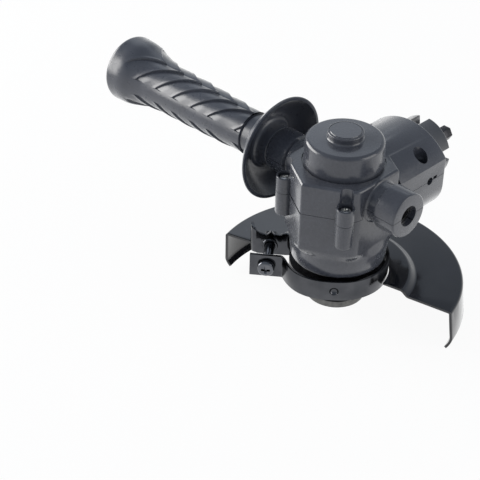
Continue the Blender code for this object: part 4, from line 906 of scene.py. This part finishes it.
def handle_core():
    """Hub, dished hand flange and neck."""
    hub = 10.0
    fillet = 3.0
    wall = 1.6
    hub_edge = 0.6
    rim_edge = 0.4
    face = BOSS_END + GAP
    profile = [(0, face)] + arc((hub - hub_edge, face + hub_edge), hub_edge, -pi / 2, 0, 4)
    profile += arc((hub + fillet, DISH_FLOOR - fillet), fillet, pi, pi / 2, 10)
    steps = 24
    inner = DISH_RADIUS - wall
    for k in range(6, steps + 1):
        share = k / steps
        profile.append((hub + (inner - hub) * share, DISH_FLOOR - (DISH_FLOOR - DISH_RIM) * share**2.6))
    back = DISH_FLOOR + 4.4
    profile += arc((DISH_RADIUS - rim_edge, DISH_RIM + rim_edge), rim_edge, -pi / 2, 0, 4)
    for k in range(steps + 1):
        share = k / steps
        depth = back - (back - DISH_RIM - 0.6) * (1 - share) ** 1.35
        profile.append((DISH_RADIUS - (DISH_RADIUS - NECK_RADIUS) * share, depth))
    profile += [(NECK_RADIUS, GRIP_START - GAP), (7, GRIP_START - GAP), (7, CORE_END), (0, CORE_END)]
    core = turned(profile, 128, HANDLE_FRAME)
    bore = rod(4.0, BOSS_END, 59.3, 40, HANDLE_FRAME)
    head = prism(hexagon(11.6), 58.7, 64.3, HANDLE_FRAME)
    return cut(core, bore, head)


finish(handle_core(), "handle_core_fine", "handle", handle_look, ["handle_core"])

# Mean radius of the grip along the handle
GRIP_KNOTS = [
    (55, 10.2), (63, 10.3), (72, 10.7), (84, 11.1), (98, 11.5), (110, 11.6), (120, 12.4), (128.3, 14.3),
    (132.3, 15.7), (136.7, 16.5), (141.6, 16.8),
]
CHEVRONS = (38.9, 56.4, 67.6, 80.0, 92.0, 104.8, 117.2)  # where each groove's sharp edge points to the hub
CHEVRON_SPAN = 72.0          # half the width of a grooved panel, in degrees
CHEVRON_RISE = 20.4
PANEL_TURN = -5.0            # middle of the upper panel, from the top towards the front
GROOVE_WIDTHS = [(0, 11.0), (18, 10.0), (37, 8.3), (48, 5.8), (58, 4.5), (90, 5.0)]
PANEL_END = 135.3
LAND = 0.2                   # height of the plain surface between and beside the grooves


def chevron(delta):
    """How far a groove has run towards the handle's end at this angle from the panel's middle."""
    return CHEVRON_RISE * (min(abs(delta), 76.0) / CHEVRON_SPAN) ** 0.68


def grip_height(start, delta):
    """Height of the grip's surface above its mean radius, at a place along the chevrons."""
    wall = 0.3
    swell = 2.2
    spread = abs(delta)
    x = start + chevron(delta)
    panel_end = PANEL_END - 5.6 * (spread / 75) ** 1.6
    side = unit((CHEVRON_SPAN + 0.6 - spread) / 1.2)
    end = unit((panel_end - x) / 0.5)
    width = along(GROOVE_WIDTHS, spread)
    deep = 1.0 - 0.45 * (spread / CHEVRON_SPAN) ** 2
    height = LAND
    for edge in CHEVRONS:
        into = edge - start
        if 0 <= into <= width:
            drop = min(1.0, into / wall)
            ramp = 1 - max(0.0, into - wall) / (width - wall)
            height = LAND - deep * drop * ramp**0.85
        elif -swell < into < 0:
            height = LAND + 0.3 * (1 + into / swell)
    return LAND + (height - LAND) * side * end


def grip_columns():
    """Angles round the grip, each with its degrees from the middle of its panel."""
    deltas = {float(d) for d in range(-90, 90, 3)}
    for sign in (-1, 1):
        deltas |= {sign * d for d in (70.6, 71.3, 72, 72.7, 73.4)}
    columns = []
    for centre in (PANEL_TURN, PANEL_TURN + 180):
        columns += [(radians(centre + delta), delta) for delta in sorted(deltas)]
    return columns


def grip_starts():
    """Where the rows of points start along the grip, closest at the sharp edges of the grooves."""
    starts = set()
    for edge in CHEVRONS:
        starts |= {edge + step for step in (0.05, 0.5, 1.2, 2.2, -0.02, -0.15, -0.3, -0.8)}
    low = GRIP_START - CHEVRON_RISE - 1.5
    pitch = 1.1
    starts |= {low + pitch * i for i in range(int((END_RIM - low) / pitch) + 1)}
    ordered = [low]
    for start in sorted(starts):
        if start - ordered[-1] > 0.12:
            ordered.append(start)
    return ordered


def grip_ring(columns, radius, x):
    return [(radius * cos(turn), -radius * sin(turn), x) for turn, _ in columns]


def grip_rows(columns):
    """Rows of points from the mouth of the grip, over its panels, to the crown of its flared end."""
    mouth = [(GRIP_BORE, GRIP_START), (9.7, GRIP_START), (10.05, GRIP_START + 0.15)]
    rows = [grip_ring(columns, radius, x) for radius, x in mouth]
    for start in grip_starts():
        row = []
        for turn, delta in columns:
            x = max(GRIP_START + 0.5, min(start + chevron(delta), END_RIM))
            rise = grip_height(start, delta) if x < PANEL_END + 1 else LAND
            fade = unit((x - 134) / 4)
            radius = min(along(GRIP_KNOTS, x) + rise * (1 - fade), END_RADIUS)
            row.append((radius * cos(turn), -radius * sin(turn), x))
        rows.append(row)
    edge = 2.2
    top = END_RIM + edge
    crown = arc((END_RADIUS - edge, END_RIM), edge, 0, pi / 2, 8)[1:]
    crown += [(11, top + 0.35), (7.5, top + 0.6), (4, top + 0.75)]
    rows += [grip_ring(columns, radius, x) for radius, x in crown]
    return rows, top + 0.8


def grip():
    """Grip and flared end in one: two opposed panels of chevron grooves that overlap like leaves."""
    bore_end = CORE_END + GAP
    tiny = 0.01
    columns = grip_columns()
    rows, tip_x = grip_rows(columns)
    bm = bmesh.new()
    made = [[bm.verts.new(point) for point in row] for row in rows]
    count = len(columns)
    for under, over in zip(made, made[1:]):
        for i in range(count):
            j = (i + 1) % count
            bm.faces.new((under[i], under[j], over[j], over[i]))
    tip = bm.verts.new((0, 0, tip_x))
    deep_ring = [bm.verts.new(point) for point in grip_ring(columns, GRIP_BORE, bore_end)]
    floor = bm.verts.new((0, 0, bore_end))
    for i in range(count):
        j = (i + 1) % count
        bm.faces.new((made[-1][i], made[-1][j], tip))
        bm.faces.new((deep_ring[i], deep_ring[j], made[0][j], made[0][i]))
        bm.faces.new((floor, deep_ring[j], deep_ring[i]))
    bmesh.ops.remove_doubles(bm, verts=bm.verts, dist=tiny)
    bmesh.ops.dissolve_degenerate(bm, edges=bm.edges, dist=tiny)
    # local X points up here, so the handle's frame turns it onto +Z and Z onto -X
    turn = Matrix(((0, 0, -1, 0), (0, 1, 0, 0), (1, 0, 0, 0), (0, 0, 0, 1)))
    return shape(bm, at(0, 0, HANDLE_Z) @ turn)


finish(
    grip(), "grip_fine", "handle", handle_look, ["grip_sleeve", "handle_end_cap"], sharp=28
)


# Floor, light and camera


def ray_share(nodes, link, *kinds):
    """1 where a ray is of one of these kinds."""
    path = nodes.new("ShaderNodeLightPath")
    total = path.outputs[kinds[0]]
    for kind in kinds[1:]:
        more = nodes.new("ShaderNodeMath")
        more.operation = "MAXIMUM"
        link(total, more.inputs[0])
        link(path.outputs[kind], more.inputs[1])
        total = more.outputs[0]
    return total


def floor_piece():
    """Pale floor that is nearly white to the camera and in reflections, and keeps the shadow."""
    bm = bmesh.new()
    bmesh.ops.create_grid(bm, x_segments=2, y_segments=2, size=2200)
    made = shape(bm, at(0, 0, -2.3))
    made.data.transform(Matrix.Scale(MM, 4))
    made.name = "floor"
    surface = bpy.data.materials.new("floor")
    surface.use_nodes = True
    nodes = surface.node_tree.nodes
    link = surface.node_tree.links.new
    shader = nodes["Principled BSDF"]
    shader.inputs["Base Color"].default_value = (0.86, 0.86, 0.86, 1)
    shader.inputs["Roughness"].default_value = 0.9
    glow = nodes.new("ShaderNodeEmission")
    glow.inputs["Strength"].default_value = 1.0
    mix = nodes.new("ShaderNodeMixShader")
    weight = nodes.new("ShaderNodeMath")
    weight.operation = "MULTIPLY"
    weight.inputs[1].default_value = 0.94
    link(ray_share(nodes, link, "Is Camera Ray", "Is Glossy Ray", "Is Transmission Ray"), weight.inputs[0])
    link(weight.outputs[0], mix.inputs[0])
    link(shader.outputs[0], mix.inputs[1])
    link(glow.outputs[0], mix.inputs[2])
    link(mix.outputs[0], nodes["Material Output"].inputs["Surface"])
    made.data.materials.append(surface)
    return made


def studio():
    """World that darkens from the horizon up."""
    world = bpy.data.worlds.new("studio")
    bpy.context.scene.world = world
    world.use_nodes = True
    nodes = world.node_tree.nodes
    link = world.node_tree.links.new
    height = nodes.new("ShaderNodeSeparateXYZ")
    link(nodes.new("ShaderNodeTexCoord").outputs["Generated"], height.inputs[0])
    share = nodes.new("ShaderNodeMapRange")
    share.inputs["From Min"].default_value = 0.05
    share.inputs["From Max"].default_value = 0.55
    link(height.outputs["Z"], share.inputs["Value"])
    sky = nodes.new("ShaderNodeMix")
    sky.data_type = "RGBA"
    sky.inputs[MIX_A].default_value = (0.74, 0.76, 0.78, 1)
    sky.inputs[MIX_B].default_value = (0.36, 0.4, 0.46, 1)
    link(share.outputs["Result"], sky.inputs["Factor"])
    link(sky.outputs[MIX_RESULT], nodes["Background"].inputs["Color"])
    nodes["Background"].inputs["Strength"].default_value = 1.0


def softbox(name, azimuth, elevation, distance, size, power, colour):
    """Square lamp that looks at the object from a compass direction, +X being 0 degrees."""
    lamp = bpy.data.lights.new(name, "AREA")
    lamp.shape = "SQUARE"
    lamp.size = size
    lamp.energy = power
    lamp.color = colour
    holder = bpy.data.objects.new(name, lamp)
    bpy.context.scene.collection.objects.link(holder)
    turn, lift = radians(azimuth), radians(elevation)
    towards = Vector((cos(turn) * cos(lift), sin(turn) * cos(lift), sin(lift)))
    holder.location = Vector((-0.02, 0, 0.05)) + towards * distance
    holder.rotation_euler = towards.to_track_quat("Z", "Y").to_euler()


def place_camera():
    """Camera at the photograph's place, angle and focal length."""
    lens = bpy.data.cameras.new("camera")
    lens.sensor_width = SENSOR
    lens.lens = FOCAL_PIXELS * SENSOR / PHOTO_PIXELS
    lens.clip_start = 0.01
    camera = bpy.data.objects.new("camera", lens)
    bpy.context.scene.collection.objects.link(camera)
    across = cos(CAMERA_ELEVATION)
    back = Vector((sin(CAMERA_AZIMUTH) * across, -cos(CAMERA_AZIMUTH) * across, sin(CAMERA_ELEVATION)))
    level_right = Vector((cos(CAMERA_AZIMUTH), sin(CAMERA_AZIMUTH), 0))
    level_up = back.cross(level_right)
    right = level_right * cos(CAMERA_ROLL) + level_up * sin(CAMERA_ROLL)
    up = level_up * cos(CAMERA_ROLL) - level_right * sin(CAMERA_ROLL)
    turn = Matrix((right, up, back)).transposed().to_4x4()
    camera.matrix_world = Matrix.Translation(Vector(CAMERA_AT) * MM) @ turn
    bpy.context.scene.camera = camera


floor_piece()
studio()
softbox("top_back", 137, 36, 1.1, 0.44, 0.26, (0.85, 0.92, 1.0))
softbox("back_card", 118.5, 38.3, 1.1, 0.07, 0.03, (0.9, 0.94, 1.0))
softbox("left", 206, 8, 1.0, 1.0, 20.0, (1.0, 0.98, 0.95))
softbox("right", 24, 22, 1.0, 0.7, 3.0, (1.0, 0.97, 0.93))
place_camera()
bpy.context.scene.view_settings.view_transform = "Standard"
